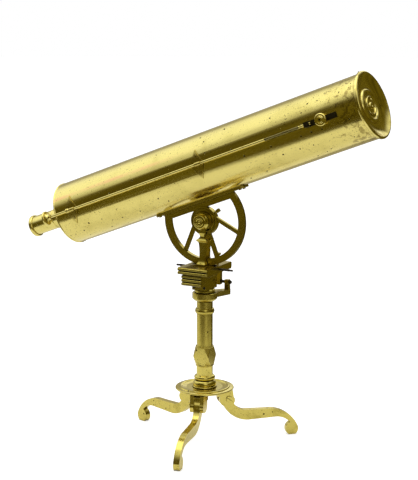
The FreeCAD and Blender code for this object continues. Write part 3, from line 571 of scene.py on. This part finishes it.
# ---- finishes -----------------------------------------------------------------------------
BRASS_BRIGHT = (0.80, 0.67, 0.20, 1.0)
BRASS_SATIN = (0.72, 0.59, 0.135, 1.0)
BRASS_AGED = (0.56, 0.45, 0.085, 1.0)
BRASS_OLIVE = (0.42, 0.33, 0.055, 1.0)
BRASS_BROWN = (0.20, 0.13, 0.025, 1.0)
# Tint of the painted rosy reflection along the tube's upper rear side.
ROSY_REFLECTION = (0.86, 0.42, 0.20, 1.0)
# Dark brown of the painted shade in hollows and on faces that look down.
PAINTED_SHADE_BROWN = (0.045, 0.032, 0.006, 1.0)
PIT_BLACK = (0.02, 0.014, 0.004, 1.0)
WHITE = (1.0, 1.0, 1.0, 1.0)
RUBBED_GAIN = 1.18         # brightness of a rubbed edge against the clean metal
SPECKLE = 0.16             # how much of the fine mottling shows
SCRATCH_STAIN = 0.35       # tarnish that the long scratches hold
STIPPLE_STAIN = 0.55
# Strength of the painted shade in hollows.
HOLLOW_SHADE_COVER = 0.85
PIT_DEPTH = 0.0002         # metres
SCRATCH_DEPTH = 0.00003


@dataclass(frozen=True)
class MetalFinish:
    """A metal with tool marks, age and rubbed edges.

    Args:
        name: Name of the material.
        slot: Slot of the record; not used.
        grain: Direction of the tool marks.
        axis: Line that the marks follow.
        colour: Colour of the clean metal.
        stain: Colour of the tarnish.
        tarnish: How much of the tarnish shows, 0 to 1.
        rough: Roughness of the clean metal.
        marks: Depth of the tool marks in metres.
        fineness: Number of marks per metre.
        pits: Share of cells that hold a pit.
        clouds: Size of the tarnish clouds in metres.
        rubbed: Brightness that rubbed edges gain, 0 to 1.
        wave: Depth of the hand-raised unevenness in metres.
        scratched: Strength of the long scratches, 0 to 1.
        grime_reach: How far from a corner the painted shade reaches, in metres.
        underside: How much painted shade darkens the faces that look down, 0 to 1.
    """

    name: str
    slot: Slot
    grain: Grain
    axis: Axis
    colour: Colour = BRASS_BRIGHT
    stain: Colour = BRASS_OLIVE
    tarnish: float = 0.4
    rough: float = 0.2
    marks: float = 0.00002
    fineness: float = 1200.0
    pits: float = 0.05
    clouds: float = 0.05
    rubbed: float = 0.35
    wave: float = 0.0
    scratched: float = 0.5
    grime_reach: float = 0.005
    underside: float = 0.0

    def material(self) -> Material:
        """Build the material, or find it if it is there.

        Returns:
            The material.
        """
        found = bpy.data.materials.get(self.name)
        if found:
            return found
        made = bpy.data.materials.new(self.name)
        made.use_nodes = True
        tree = made.node_tree
        shader = tree.nodes["Principled BSDF"]
        shader.inputs["Metallic"].default_value = 1.0
        local = self._local(tree)
        grain = node(tree, "Group", {"Vector": local, "Fineness": self.fineness},
                     node_tree=EFFECTS.grain[self.grain])
        age = node(tree, "Group", {"Vector": local, "Cloud Size": self.clouds, "Pit Density": self.pits},
                   node_tree=EFFECTS.age)
        lines = node(tree, "Group", {"Vector": local}, node_tree=EFFECTS.scratches)
        edges = node(tree, "Group", node_tree=EFFECTS.edge_rub)
        # Ambient occlusion mask: corners and hollows get painted shade.
        grime = node(tree, "Group", {"Reach": self.grime_reach}, node_tree=EFFECTS.grime)
        tarnish = maths(tree, "MULTIPLY", age.outputs["Tarnish"], self.tarnish)
        colour = blend(tree, tarnish, self.colour, self.stain)
        speckle = maths(tree, "MULTIPLY", age.outputs["Mottle"], SPECKLE)
        colour = blend(tree, speckle, colour, self.stain)
        colour = self._extra(tree, local, colour)
        # Painted shade: faces that look down are darkened towards dark brown.
        if self.underside:
            facing = node(tree, "SeparateXYZ", {0: node(tree, "TexCoord").outputs["Normal"]}).outputs["Z"]
            down = maths(tree, "MULTIPLY", ramp(tree, facing, -0.02, -0.45), self.underside)
            colour = blend(tree, down, colour, PAINTED_SHADE_BROWN)
        bright = tuple(min(1.0, channel * RUBBED_GAIN) for channel in self.colour[:3]) + (1.0,)
        for mask, strength, over in (
                (edges.outputs["Mask"], self.rubbed, bright),
                (lines.outputs["Mask"], SCRATCH_STAIN * self.scratched, self.stain),
                (age.outputs["Stipple"], STIPPLE_STAIN, BRASS_BROWN),
                # Painted shade in corners and hollows.
                (grime.outputs["Mask"], HOLLOW_SHADE_COVER, PAINTED_SHADE_BROWN),
                (age.outputs["Pits"], 1.0, PIT_BLACK)):
            colour = blend(tree, maths(tree, "MULTIPLY", mask, strength), colour, over)
        tree.links.new(colour, shader.inputs["Base Color"])
        rough = maths(tree, "MULTIPLY_ADD", tarnish, 0.10, self.rough)
        # The painted-shade mask of the hollows also raises the roughness there.
        for mask, gain in ((grain.outputs["Height"], 0.06), (age.outputs["Mottle"], 0.04),
                           (grime.outputs["Mask"], 0.25)):
            rough = maths(tree, "MULTIPLY_ADD", mask, gain, rough)
        rough = maths(tree, "MULTIPLY_ADD", age.outputs["Pits"], 0.4, rough, clamp=True)
        tree.links.new(rough, shader.inputs["Roughness"])
        tree.links.new(self._normal(tree, local, grain, age, lines), shader.inputs["Normal"])
        return made

    def _local(self, tree: Tree) -> Socket:
        """Object coordinates turned so that Z runs along the axis.

        Args:
            tree: The material's tree.

        Returns:
            The vector socket.
        """
        place = self.axis.matrix()
        coordinates = node(tree, "TexCoord")
        return node(tree, "Mapping", {"Vector": coordinates.outputs["Object"],
                                      "Location": place.translation,
                                      "Rotation": place.to_euler()}, vector_type="TEXTURE").outputs[0]

    def _extra(self, tree: Tree, local: Socket,
               colour: Socket) -> Socket:
        """Further colour of a special finish; the plain one has none."""
        return colour

    def _normal(self, tree: Tree, local: Socket, grain: Node,
                age: Node, lines: Node) -> Socket:
        """Normal with the tool marks, pits, scratches and unevenness.

        Args:
            tree: The material's tree.
            local: Coordinates along the axis.
            grain: Group of the tool marks.
            age: Group of the age effects.
            lines: Group of the scratches.

        Returns:
            The normal's socket.
        """
        height = maths(tree, "MULTIPLY", grain.outputs["Height"], self.marks)
        height = maths(tree, "MULTIPLY_ADD", age.outputs["Pits"], -PIT_DEPTH, height)
        height = maths(tree, "MULTIPLY_ADD", lines.outputs["Mask"], -SCRATCH_DEPTH * self.scratched, height)
        if self.wave:
            long = node(tree, "VectorMath", {0: local, 1: (1.0, 1.0, 0.22)}, operation="MULTIPLY")
            swell = node(tree, "TexNoise", {"Vector": long.outputs[0], "Scale": 26.0, "Detail": 2.0})
            height = maths(tree, "MULTIPLY_ADD", swell.outputs["Fac"], self.wave, height)
        bump = node(tree, "Bump", {"Height": height, "Strength": 1.0, "Distance": 1.0})
        return bump.outputs["Normal"]


@dataclass(frozen=True)
class TubeFinish(MetalFinish):
    """Polished tube brass with stains near its mouth and a painted rosy reflection along its upper side.

    Args:
        length: Length of the tube behind the axis's origin, in metres.
        radius: Radius of the tube in metres.
    """

    length: float = 0.717
    radius: float = 0.0635

    def _extra(self, tree: Tree, local: Socket,
               colour: Socket) -> Socket:
        """Stains by the mouth and the painted rosy reflection.

        Args:
            tree: The material's tree.
            local: Coordinates along the tube.
            colour: Colour so far.

        Returns:
            The colour to go on with.
        """
        world = node(tree, "TexCoord").outputs["Object"]
        along = node(tree, "SeparateXYZ", {0: local}).outputs["Z"]
        height = node(tree, "SeparateXYZ", {0: world}).outputs["Z"]
        patch = node(tree, "TexNoise", {"Vector": local, "Scale": 85.0, "Detail": 8.0, "Roughness": 0.72,
                                        "Distortion": 0.5})
        near_mouth = ramp(tree, along, -0.20 * self.length, -0.01 * self.length)
        reach = maths(tree, "MULTIPLY_ADD", near_mouth, 0.16, patch.outputs["Fac"])
        stained = maths(tree, "MULTIPLY", ramp(tree, reach, 0.66, 0.73), 0.65)
        colour = blend(tree, stained, colour, BRASS_BROWN)
        # Painted reflection: a rosy band at a fixed height over the tube's axis, on its rear part and its -Y
        # side, towards the camera.
        middle = maths(tree, "SUBTRACT", height, self._axis_height(tree, along))
        off = maths(tree, "ABSOLUTE", maths(tree, "SUBTRACT", middle, 0.49 * self.radius))
        wander = node(tree, "TexNoise", {"Vector": local, "Scale": 14.0, "Detail": 3.0})
        rosy_reflection = ramp(tree, off, 0.085 * self.radius, 0.0)
        rear = ramp(tree, along, -0.45 * self.length, -0.75 * self.length)
        near_side = ramp(tree, node(tree, "SeparateXYZ", {0: world}).outputs["Y"],
                         self.axis.origin.y, self.axis.origin.y - 0.3 * self.radius)
        rosy_reflection = maths(tree, "MULTIPLY", maths(tree, "MULTIPLY", rosy_reflection, rear), near_side)
        rosy_reflection = maths(tree, "MULTIPLY", rosy_reflection, ramp(tree, wander.outputs["Fac"], 0.25, 0.6))
        return blend(tree, maths(tree, "MULTIPLY", rosy_reflection, 0.55), colour, ROSY_REFLECTION)

    def _axis_height(self, tree: Tree, along: Socket) -> Socket:
        """Height of the tube's axis at each station."""
        return maths(tree, "MULTIPLY_ADD", along, self.axis.direction.z, self.axis.origin.z)


@dataclass(frozen=True)
class GlassFinish:
    """Clear crown glass with a little dust.

    Args:
        name: Name of the material.
        slot: Slot of the record; not used.
        tint: Colour of the glass.
    """

    name: str = "crown_glass"
    slot: Slot = Slot.GLASS
    tint: Colour = (0.93, 0.97, 0.94, 1.0)

    def material(self) -> Material:
        """Build the material, or find it if it is there.

        Returns:
            The material.
        """
        found = bpy.data.materials.get(self.name)
        if found:
            return found
        made = bpy.data.materials.new(self.name)
        made.use_nodes = True
        tree = made.node_tree
        shader = tree.nodes["Principled BSDF"]
        shader.inputs["Base Color"].default_value = self.tint
        shader.inputs["Transmission Weight"].default_value = 1.0
        shader.inputs["IOR"].default_value = 1.52
        coordinates = node(tree, "TexCoord")
        dust = node(tree, "TexNoise", {"Vector": coordinates.outputs["Object"], "Scale": 900.0,
                                       "Detail": 5.0})
        rough = maths(tree, "MULTIPLY", ramp(tree, dust.outputs["Fac"], 0.5, 0.8), 0.18)
        tree.links.new(rough, shader.inputs["Roughness"])
        return made


def brass(name: str, grain: Grain, axis: Axis, satin: bool = False, **changes: float) -> MetalFinish:
    """One of the stand's or the tube's brasses.

    Args:
        name: Name of the material.
        grain: Direction of the tool marks.
        axis: Line that the marks follow.
        satin: True for the duller brass of the stand.
        **changes: Other values of the finish.

    Returns:
        The finish.
    """
    values = {"colour": BRASS_BRIGHT, "rough": 0.17, "tarnish": 0.45}
    slot = Slot.POLISHED
    if satin:
        values = {"colour": BRASS_SATIN, "rough": 0.29, "tarnish": 0.5, "marks": 0.00003}
        slot = Slot.SATIN
    values.update(changes)
    return MetalFinish(name, slot, grain, axis, **values)


TUBE_BRASS = TubeFinish("tube_brass", Slot.POLISHED, Grain.DRAWN, TUBE, rough=0.13, tarnish=0.35,
                        marks=0.000009, fineness=900.0, pits=0.9, clouds=0.07, wave=0.00016,
                        scratched=1.0)
TURNED_ON_TUBE = brass("turned_brass_of_tube", Grain.TURNED, TUBE, tarnish=0.6, pits=0.1)
CAP_BRASS = brass("dust_cap_brass", Grain.TURNED, TUBE, tarnish=0.9, rough=0.13, clouds=0.03, pits=0.25)
EYEPIECE_BRASS = brass("eyepiece_brass", Grain.TURNED, joint_axis("eyepiece_out"), tarnish=0.5, pits=0.2)
ROD_BRASS = brass("rod_brass", Grain.DRAWN, FOCUS, tarnish=0.6, clouds=0.02, pits=0.2)
PLATE_BRASS = brass("bracket_brass", Grain.FILED, TUBE, colour=(0.62, 0.50, 0.13, 1.0), tarnish=0.8,
                    clouds=0.02, pits=0.3, grime_reach=0.004, rubbed=1.0, marks=0.00001)
NUT_BRASS = brass("clamp_nut_brass", Grain.TURNED, CLAMP, tarnish=0.7, rough=0.13, clouds=0.012)
SECTOR_BRASS = brass("sector_brass", Grain.FILED, TUBE, satin=True, colour=BRASS_AGED, rough=0.16,
                     tarnish=0.8, clouds=0.05, pits=0.3, marks=0.000006, rubbed=0.8)
TRUNNION_BRASS = brass("trunnion_brass", Grain.TURNED, TRUNNION, satin=True, colour=BRASS_AGED, rough=0.10,
                       tarnish=0.6, clouds=0.02, marks=0.000006, grime_reach=0.006)
STANDARD_BRASS = brass("upright_brass", Grain.DRAWN, UPRIGHT, satin=True, colour=BRASS_AGED, rough=0.15,
                       tarnish=0.8, clouds=0.025, pits=0.2, marks=0.000008)
# The head's faces that look down get painted shade.
HEAD_BRASS = brass("head_brass", Grain.FILED, UPRIGHT, satin=True, colour=BRASS_AGED, rough=0.14,
                   tarnish=0.8, clouds=0.03, pits=0.25, marks=0.000005, underside=0.85)
PILLAR_BRASS = brass("pillar_brass", Grain.TURNED, PILLAR, satin=True, colour=BRASS_AGED, rough=0.19,
                     tarnish=1.0, clouds=0.016, marks=0.00001, pits=0.4)
DISC_BRASS = brass("disc_brass", Grain.TURNED, PILLAR, satin=True, rough=0.13, tarnish=0.7, clouds=0.04,
                   marks=0.000008, pits=0.3, grime_reach=0.006)
KNOP_BRASS = brass("knop_brass", Grain.FILED, UPRIGHT, satin=True, rough=0.17, tarnish=0.6, clouds=0.02,
                   pits=0.6, marks=0.00001)
LEG_BRASS = brass("leg_brass", Grain.FILED, UPRIGHT, satin=True, rough=0.15, tarnish=0.55, clouds=0.03,
                  pits=1.0, marks=0.00001, grime_reach=0.0025)
BLACK_STEEL = MetalFinish("blackened_steel", Slot.DARK, Grain.TURNED, WORM, colour=(0.07, 0.06, 0.045, 1.0),
                          stain=(0.02, 0.015, 0.01, 1.0), rough=0.38, tarnish=0.6, clouds=0.01, pits=0.1)
BLUED_STEEL = MetalFinish("blued_spring_steel", Slot.SPRING, Grain.DRAWN, TUBE,
                          colour=(0.10, 0.13, 0.22, 1.0), stain=(0.05, 0.04, 0.03, 1.0), rough=0.28)
SPECULUM = MetalFinish("speculum_metal", Slot.SPECULUM, Grain.TURNED, TUBE, colour=(0.72, 0.71, 0.68, 1.0),
                       stain=(0.45, 0.42, 0.36, 1.0), rough=0.05, tarnish=0.35, marks=0.0, scratched=0.2)
BLACKED_BRASS = MetalFinish("blacked_brass", Slot.POLISHED, Grain.FILED, TUBE,
                            colour=(0.05, 0.042, 0.02, 1.0), stain=(0.015, 0.012, 0.006, 1.0), rough=0.45,
                            tarnish=0.7, clouds=0.012, rubbed=0.4)
GLASS = GlassFinish()


def dress(finish: MetalFinish | GlassFinish, *names: str) -> None:
    """Give carried-over nodes a finish.

    Args:
        finish: The finish.
        *names: The nodes.
    """
    for name in names:
        for place in frame["nodes"][name].material_slots:
            place.material = finish.material()
        LOG.info("%s dressed in %s", name, finish.name)


def clothe(piece: Piece, finish: MetalFinish | GlassFinish) -> None:
    """Give a new piece a finish."""
    piece.data.materials.clear()
    piece.data.materials.append(finish.material())


def ease_nodes(body: str, finish: MetalFinish, widths: dict[str, float]) -> None:
    """Replace nodes with copies whose edges are eased.

    Args:
        body: Body that carries them all.
        finish: Their finish.
        widths: Width of the rounding in millimetres, by node.
    """
    for name, width in widths.items():
        piece = eased(name, width)
        clothe(piece, finish)
        stands_for(piece, [name], body)


# ---- sub-assemblies -----------------------------------------------------------------------
@dataclass
class OpticalTube:
    """Main tube with its plates, cap, eyepiece and optics.

    Args:
        easing: Rounding of the plate's edges in millimetres, by node.
    """

    easing: dict[str, float] = field(default_factory=lambda: {"saddle_plate": 0.5})

    def build(self) -> None:
        """Make the eased plate."""
        ease_nodes("tube", PLATE_BRASS, self.easing)

    def dress(self) -> None:
        """Dress the carried-over nodes."""
        dress(TUBE_BRASS, "tube_barrel")
        dress(TURNED_ON_TUBE, "rear_plate", "mirror_cell", "secondary_cell")
        dress(CAP_BRASS, "front_cap")
        dress(EYEPIECE_BRASS, "eyepiece_flange", "eyepiece_barrel", "eyepiece_cap", "eye_lens_cell",
              "field_lens_cell")
        dress(BLACKED_BRASS, "baffle_tube", "secondary_arm", "slider_guide")
        dress(BLUED_STEEL, "mirror_springs")
        dress(SPECULUM, "primary_mirror", "secondary_mirror")
        dress(GLASS, "eye_lens", "field_lens")
        dress(PLATE_BRASS, "saddle_screws")


@dataclass
class FocusGear:
    """Long focusing rod with its knob, brackets and the slider that it drives.

    Args:
        easing: Rounding of the brackets' edges in millimetres, by node.
        rod_radius: Radius of the rod in millimetres.
        pitch: Rise of one turn of its thread.
        thread_start: Where the thread starts along the focusing joint's line.
        thread_turns: Number of turns.
    """

    easing: dict[str, float] = field(default_factory=lambda: {
        "rear_rod_bracket": 0.25, "front_rod_bracket": 0.25})
    rod_radius: float = 2.5
    pitch: float = 1.25
    thread_start: float = 216.0
    thread_turns: int = 60

    def build(self) -> None:
        """Make the eased brackets and the thread on the rod's front end."""
        ease_nodes("tube", PLATE_BRASS, self.easing)
        ridge = thread("rod_thread", self.rod_radius, self.rod_radius + 0.35, self.pitch, self.thread_start,
                       self.thread_turns)
        settle(ridge, FOCUS)
        clothe(ridge, BLACKED_BRASS)
        stands_for(ridge, [], "focus_rod")

    def dress(self) -> None:
        """Dress the carried-over nodes."""
        dress(ROD_BRASS, "focus_rod", "focus_knob")
        dress(BLACKED_BRASS, "slider_plate", "slider_nut")
        dress(NUT_BRASS, "clamp_nut")
        dress(PLATE_BRASS, "bracket_screws")


@dataclass
class AltitudeHead:
    """Sector, trunnions, uprights and the head block with its worm.

    Args:
        tilting: Rounding of the sector in millimetres, by node.
        fixed: Rounding of the head's blocks in millimetres, by node.
        standards: Rounding of the two uprights in millimetres, by node.
        shaft: Profile of the worm's shaft.
        worm_radius: Outer radius of the worm in millimetres.
        worm_pitch: Rise of one turn of the worm.
        worm_turns: Number of its turns.
        thumb: Profile of the pressure screw.
    """

    tilting: dict[str, float] = field(default_factory=lambda: {"altitude_sector": 0.25, "hub_screw": 0.4})
    fixed: dict[str, float] = field(default_factory=lambda: {
        "cornice_slab": 0.4, "head_body": 0.5, "reeded_box": 0.4, "tangent_lug": 0.5})
    standards: dict[str, float] = field(default_factory=lambda: {"near_upright": 0.5, "far_upright": 0.5})
    shaft: tuple = ((0.0, -64.5), (1.9, -64.5), (1.9, -57.0), (2.3, -57.0), (2.3, -13.5), (4.6, -13.5),
                    (4.6, 13.5), (2.3, 13.5), (2.3, 55.0), (1.9, 55.0), (1.9, 62.5), (0.0, 62.5))
    worm_radius: float = 5.65
    worm_pitch: float = 3.0
    worm_turns: int = 7
    thumb: tuple = ((0.0, -12.0), (2.0, -12.0), (2.0, 7.0), (4.0, 9.0), (4.0, 11.0), (6.2, 11.6),
                    (6.4, 12.6), (6.4, 14.4), (6.2, 15.4), (3.0, 16.2), (0.0, 16.2))

    def build(self) -> None:
        """Make the eased blocks, the worm and the thumbscrew."""
        ease_nodes("tube", SECTOR_BRASS, self.tilting)
        ease_nodes("head", HEAD_BRASS, self.fixed)
        ease_nodes("head", STANDARD_BRASS, self.standards)
        shaft = turned("worm_shaft", self.shaft, steps=48, closed=False)
        ridge = thread("worm_ridge", 4.6, self.worm_radius, self.worm_pitch, -10.5, self.worm_turns)
        worm = joined([shaft, ridge])
        settle(worm, WORM)
        clothe(worm, BLACK_STEEL)
        stands_for(worm, ["altitude_worm"], "altitude_worm")
        thumb = turned("pressure_screw_turned", self.thumb, steps=72, closed=False)
        milled(thumb, 5.6, 11.3, 15.5, 0.35, 72)
        settle(thumb, PRESSURE)
        clothe(thumb, HEAD_BRASS)
        stands_for(thumb, ["pressure_screw"], "pressure_screw")

    def dress(self) -> None:
        """Dress the carried-over nodes."""
        dress(TRUNNION_BRASS, "trunnion_shaft", "near_trunnion_cap", "far_trunnion_cap")
        dress(HEAD_BRASS, "azimuth_spindle")
        dress(BLACK_STEEL, "upright_screws", "body_screws")


@dataclass
class AzimuthGear:
    """Collar with its arm and post, and the tangent screw.

    Args:
        easing: Rounding in millimetres, by node.
        screw: Profile of the tangent screw's core, neck and head.
        screw_pitch: Rise of one turn of its thread.
        screw_turns: Number of turns.
    """

    easing: dict[str, float] = field(default_factory=lambda: {"azimuth_collar": 0.5, "collar_post": 0.5})
    screw: tuple = ((0.0, -28.5), (2.2, -28.5), (2.6, -28.1), (2.6, -5.2), (3.0, -4.8), (1.5, -4.8),
                    (1.5, 4.8), (2.8, 4.8), (3.5, 5.6), (3.5, 8.2), (2.8, 9.0), (1.2, 9.0), (0.0, 8.4))
    screw_pitch: float = 1.0
    screw_turns: int = 22

    def build(self) -> None:
        """Make the eased collar and post and the threaded tangent screw."""
        ease_nodes("collar", PILLAR_BRASS, self.easing)
        core = turned("tangent_screw_core", self.screw, steps=60, closed=False)
        milled(core, 2.7, 5.0, 8.9, 0.25, 60)
        ridge = thread("tangent_screw_ridge", 2.6, 3.0, self.screw_pitch, -27.9, self.screw_turns)
        whole = joined([core, ridge])
        settle(whole, TANGENT)
        clothe(whole, BLACK_STEEL)
        stands_for(whole, ["tangent_screw"], "tangent_screw")

    def dress(self) -> None:
        """Nothing here is carried over."""


@dataclass
class Stand:
    """Pillar, disc and the three folding legs.

    Args:
        legs: Names of the three legs.
        leg_edge: Rounding of a leg's edges in millimetres.
        clevis_edge: Rounding of a hinge block's edges in millimetres.
    """

    legs: tuple[str, ...] = ("front", "right", "left")
    leg_edge: float = 1.0
    clevis_edge: float = 0.5

    def build(self) -> None:
        """Make the eased knop, hinge blocks and legs."""
        ease_nodes("stand", KNOP_BRASS, {"knop": 0.5})
        for name in self.legs:
            ease_nodes("stand", LEG_BRASS, {"leg_clevis_" + name: self.clevis_edge})
            ease_nodes(name + "_leg", LEG_BRASS, {"leg_" + name: self.leg_edge})

    def dress(self) -> None:
        """Dress the carried-over nodes."""
        dress(PILLAR_BRASS, "upper_pillar", "base_nut")
        dress(DISC_BRASS, "lower_pillar", "base_disc")
        dress(LEG_BRASS, "leg_pins")
        dress(BLACK_STEEL, "clevis_screws")


# ---- studio -------------------------------------------------------------------------------
@dataclass
class Studio:
    """Pale floor, soft lights and the camera.

    Args:
        azimuth: Direction of the camera from -Y towards +X, in degrees.
        drop: How far the camera looks down, in degrees.
        distance: From the camera to its target, in metres.
        aim: Target from the pillar's axis, in metres.
        roll: Turn of the camera about its own line, in degrees.
        lens: Focal length in millimetres, for a 36 mm frame.
        table: Bounds of the white table top that the metal reflects: X, X, Y, Y in metres.
        table_edge: Width over which the table top fades.
        table_glow: Light that the table top gives to the metal.
        floor_glow: Light that the floor gives to the camera.
        light_place: Middle of the overhead softbox, in metres.
        light_side: Its side in metres.
        light_power: Its watts.
        room_deep: Darkest colour of the room on the camera's side and to the right.
        room_dark: Colour of the lighter things there.
        room_lit: Colour of the room behind, to the left.
        ceiling: Colour of the lit ceiling.
        panels: Soft white panels: direction, radius and edge in degrees, and colour.
    """

    azimuth: float = 28.29
    drop: float = 10.80
    distance: float = 2.939
    aim: tuple[float, float, float] = (0.007, 0.004, 0.4175)
    roll: float = 0.17
    lens: float = 110.3
    table: tuple[float, float, float, float] = (-1.5, 0.95, -0.80, 0.60)
    table_edge: float = 0.16
    table_glow: float = 0.10
    floor_glow: float = 0.45
    light_place: tuple[float, float, float] = (-0.2, 0.0, 2.6)
    light_side: float = 2.4
    light_power: float = 16.5
    room_deep: Colour = (0.07, 0.054, 0.003, 1.0)
    room_dark: Colour = (0.17, 0.14, 0.02, 1.0)
    room_lit: Colour = (0.42, 0.40, 0.34, 1.0)
    ceiling: Colour = (0.95, 0.97, 1.02, 1.0)
    panels: tuple = (
        ((-0.78, -0.03, 0.625), 6.0, 38.0, (1.25, 1.30, 1.45, 1.0)),
        ((0.57, -0.69, 0.45), 13.0, 4.0, (1.15, 1.15, 1.15, 1.0)),
        ((-0.14, 0.86, 0.48), 17.0, 6.0, (1.15, 1.17, 1.2, 1.0)),
    )

    def build(self) -> None:
        """Make everything in the studio."""
        self.camera()
        self.floor()
        self.sky()
        self.softbox()

    def toward_camera(self) -> Vector:
        """Unit vector from the target to the camera.

        Returns:
            The direction.
        """
        flat = math.cos(math.radians(self.drop))
        turn = math.radians(self.azimuth)
        return Vector((flat * math.sin(turn), -flat * math.cos(turn), math.sin(math.radians(self.drop))))

    def camera(self) -> None:
        """Add the camera."""
        data = bpy.data.cameras.new("studio_camera")
        data.lens = self.lens
        data.sensor_width = 36.0
        data.clip_end = 50.0
        made = bpy.data.objects.new("studio_camera", data)
        bpy.context.scene.collection.objects.link(made)
        target = Vector((PILLAR.origin.x + self.aim[0], PILLAR.origin.y + self.aim[1], self.aim[2]))
        back = self.toward_camera()
        turn = back.to_track_quat("Z", "Y").to_matrix().to_4x4()
        made.matrix_world = (Matrix.Translation(target + back * self.distance) @ turn
                             @ Matrix.Rotation(math.radians(self.roll), 4, "Z"))
        bpy.context.scene.camera = made
        bpy.context.scene.view_settings.view_transform = "Standard"

    def floor(self) -> None:
        """Add the pale floor, white to the eye, with the lit table top round the stand."""
        bpy.ops.object.select_all(action="DESELECT")
        bpy.ops.mesh.primitive_circle_add(vertices=64, radius=12.0, fill_type="NGON",
                                          location=(0.0, 0.0, -0.0002))
        floor = bpy.context.object
        floor.name = "floor"
        made = bpy.data.materials.new("pale_floor")
        made.use_nodes = True
        tree = made.node_tree
        shader = tree.nodes["Principled BSDF"]
        shader.inputs["Roughness"].default_value = 0.9
        shader.inputs["Specular IOR Level"].default_value = 0.0
        spot = node(tree, "TexCoord").outputs["Object"]
        parts = node(tree, "SeparateXYZ", {0: spot})
        left, right, near, far = self.table
        sheet = ramp(tree, parts.outputs["X"], left, left + self.table_edge)
        for side, bound, inner in (("X", right, right - self.table_edge), ("Y", near, near + self.table_edge),
                                   ("Y", far, far - self.table_edge)):
            sheet = maths(tree, "MULTIPLY", sheet, ramp(tree, parts.outputs[side], bound, inner))
        seen = node(tree, "LightPath").outputs["Is Camera Ray"]
        white = maths(tree, "MAXIMUM", sheet, seen)
        shader.inputs["Base Color"].default_value = (0.9, 0.9, 0.9, 1.0)
        shader.inputs["Emission Color"].default_value = WHITE
        glow = maths(tree, "MULTIPLY_ADD", sheet, self.table_glow,
                     maths(tree, "MULTIPLY", seen, self.floor_glow))
        tree.links.new(glow, shader.inputs["Emission Strength"])
        clear = node(tree, "BsdfTransparent")
        mixed = node(tree, "MixShader", {0: white, 1: clear.outputs[0], 2: shader.outputs[0]})
        tree.links.new(mixed.outputs[0], tree.nodes["Material Output"].inputs["Surface"])
        floor.data.materials.append(made)

    def sky(self) -> None:
        """Set the world: white to the eye, and in the metal a dim room with soft white panels."""
        world = bpy.data.worlds.new("studio_world")
        bpy.context.scene.world = world
        world.use_nodes = True
        tree = world.node_tree
        background = tree.nodes["Background"]
        direction = node(tree, "TexCoord").outputs["Generated"]
        parts = node(tree, "SeparateXYZ", {0: direction})
        up = parts.outputs["Z"]
        behind = ramp(tree, parts.outputs["Y"], -0.1, 0.4)
        lit_side = maths(tree, "MULTIPLY", behind, ramp(tree, parts.outputs["X"], 0.25, -0.35))
        flat = node(tree, "CombineXYZ", {"X": parts.outputs["X"], "Y": parts.outputs["Y"]})
        things = node(tree, "TexNoise", {"Vector": flat.outputs[0], "Scale": 3.2, "Detail": 3.0})
        room = blend(tree, ramp(tree, things.outputs["Fac"], 0.35, 0.65), self.room_deep, self.room_dark)
        room = blend(tree, lit_side, room, self.room_lit)
        room = blend(tree, ramp(tree, up, 0.55, 0.85), room, self.ceiling)
        for centre, reach, edge, colour in self.panels:
            closeness = node(tree, "VectorMath", {0: direction, 1: Vector(centre).normalized()},
                             operation="DOT_PRODUCT").outputs["Value"]
            inside = ramp(tree, closeness, math.cos(math.radians(reach + edge)),
                          math.cos(math.radians(reach)))
            room = blend(tree, inside, room, colour)
        seen = node(tree, "LightPath").outputs["Is Camera Ray"]
        tree.links.new(blend(tree, seen, room, WHITE), background.inputs["Color"])

    def softbox(self) -> None:
        """Add the square soft light over the stand."""
        data = bpy.data.lights.new("overhead_softbox", "AREA")
        data.shape = "RECTANGLE"
        data.size = data.size_y = self.light_side
        data.energy = self.light_power
        made = bpy.data.objects.new("overhead_softbox", data)
        made.location = self.light_place
        bpy.context.scene.collection.objects.link(made)


def main() -> None:
    """Build the studio and every sub-assembly."""
    logging.basicConfig(level=logging.INFO, format="%(name)s: %(message)s")
    Studio().build()
    for part in (OpticalTube(), FocusGear(), AltitudeHead(), AzimuthGear(), Stand()):
        part.build()
        part.dress()
        LOG.info("%s done", type(part).__name__)


if __name__ == "__main__":
    main()
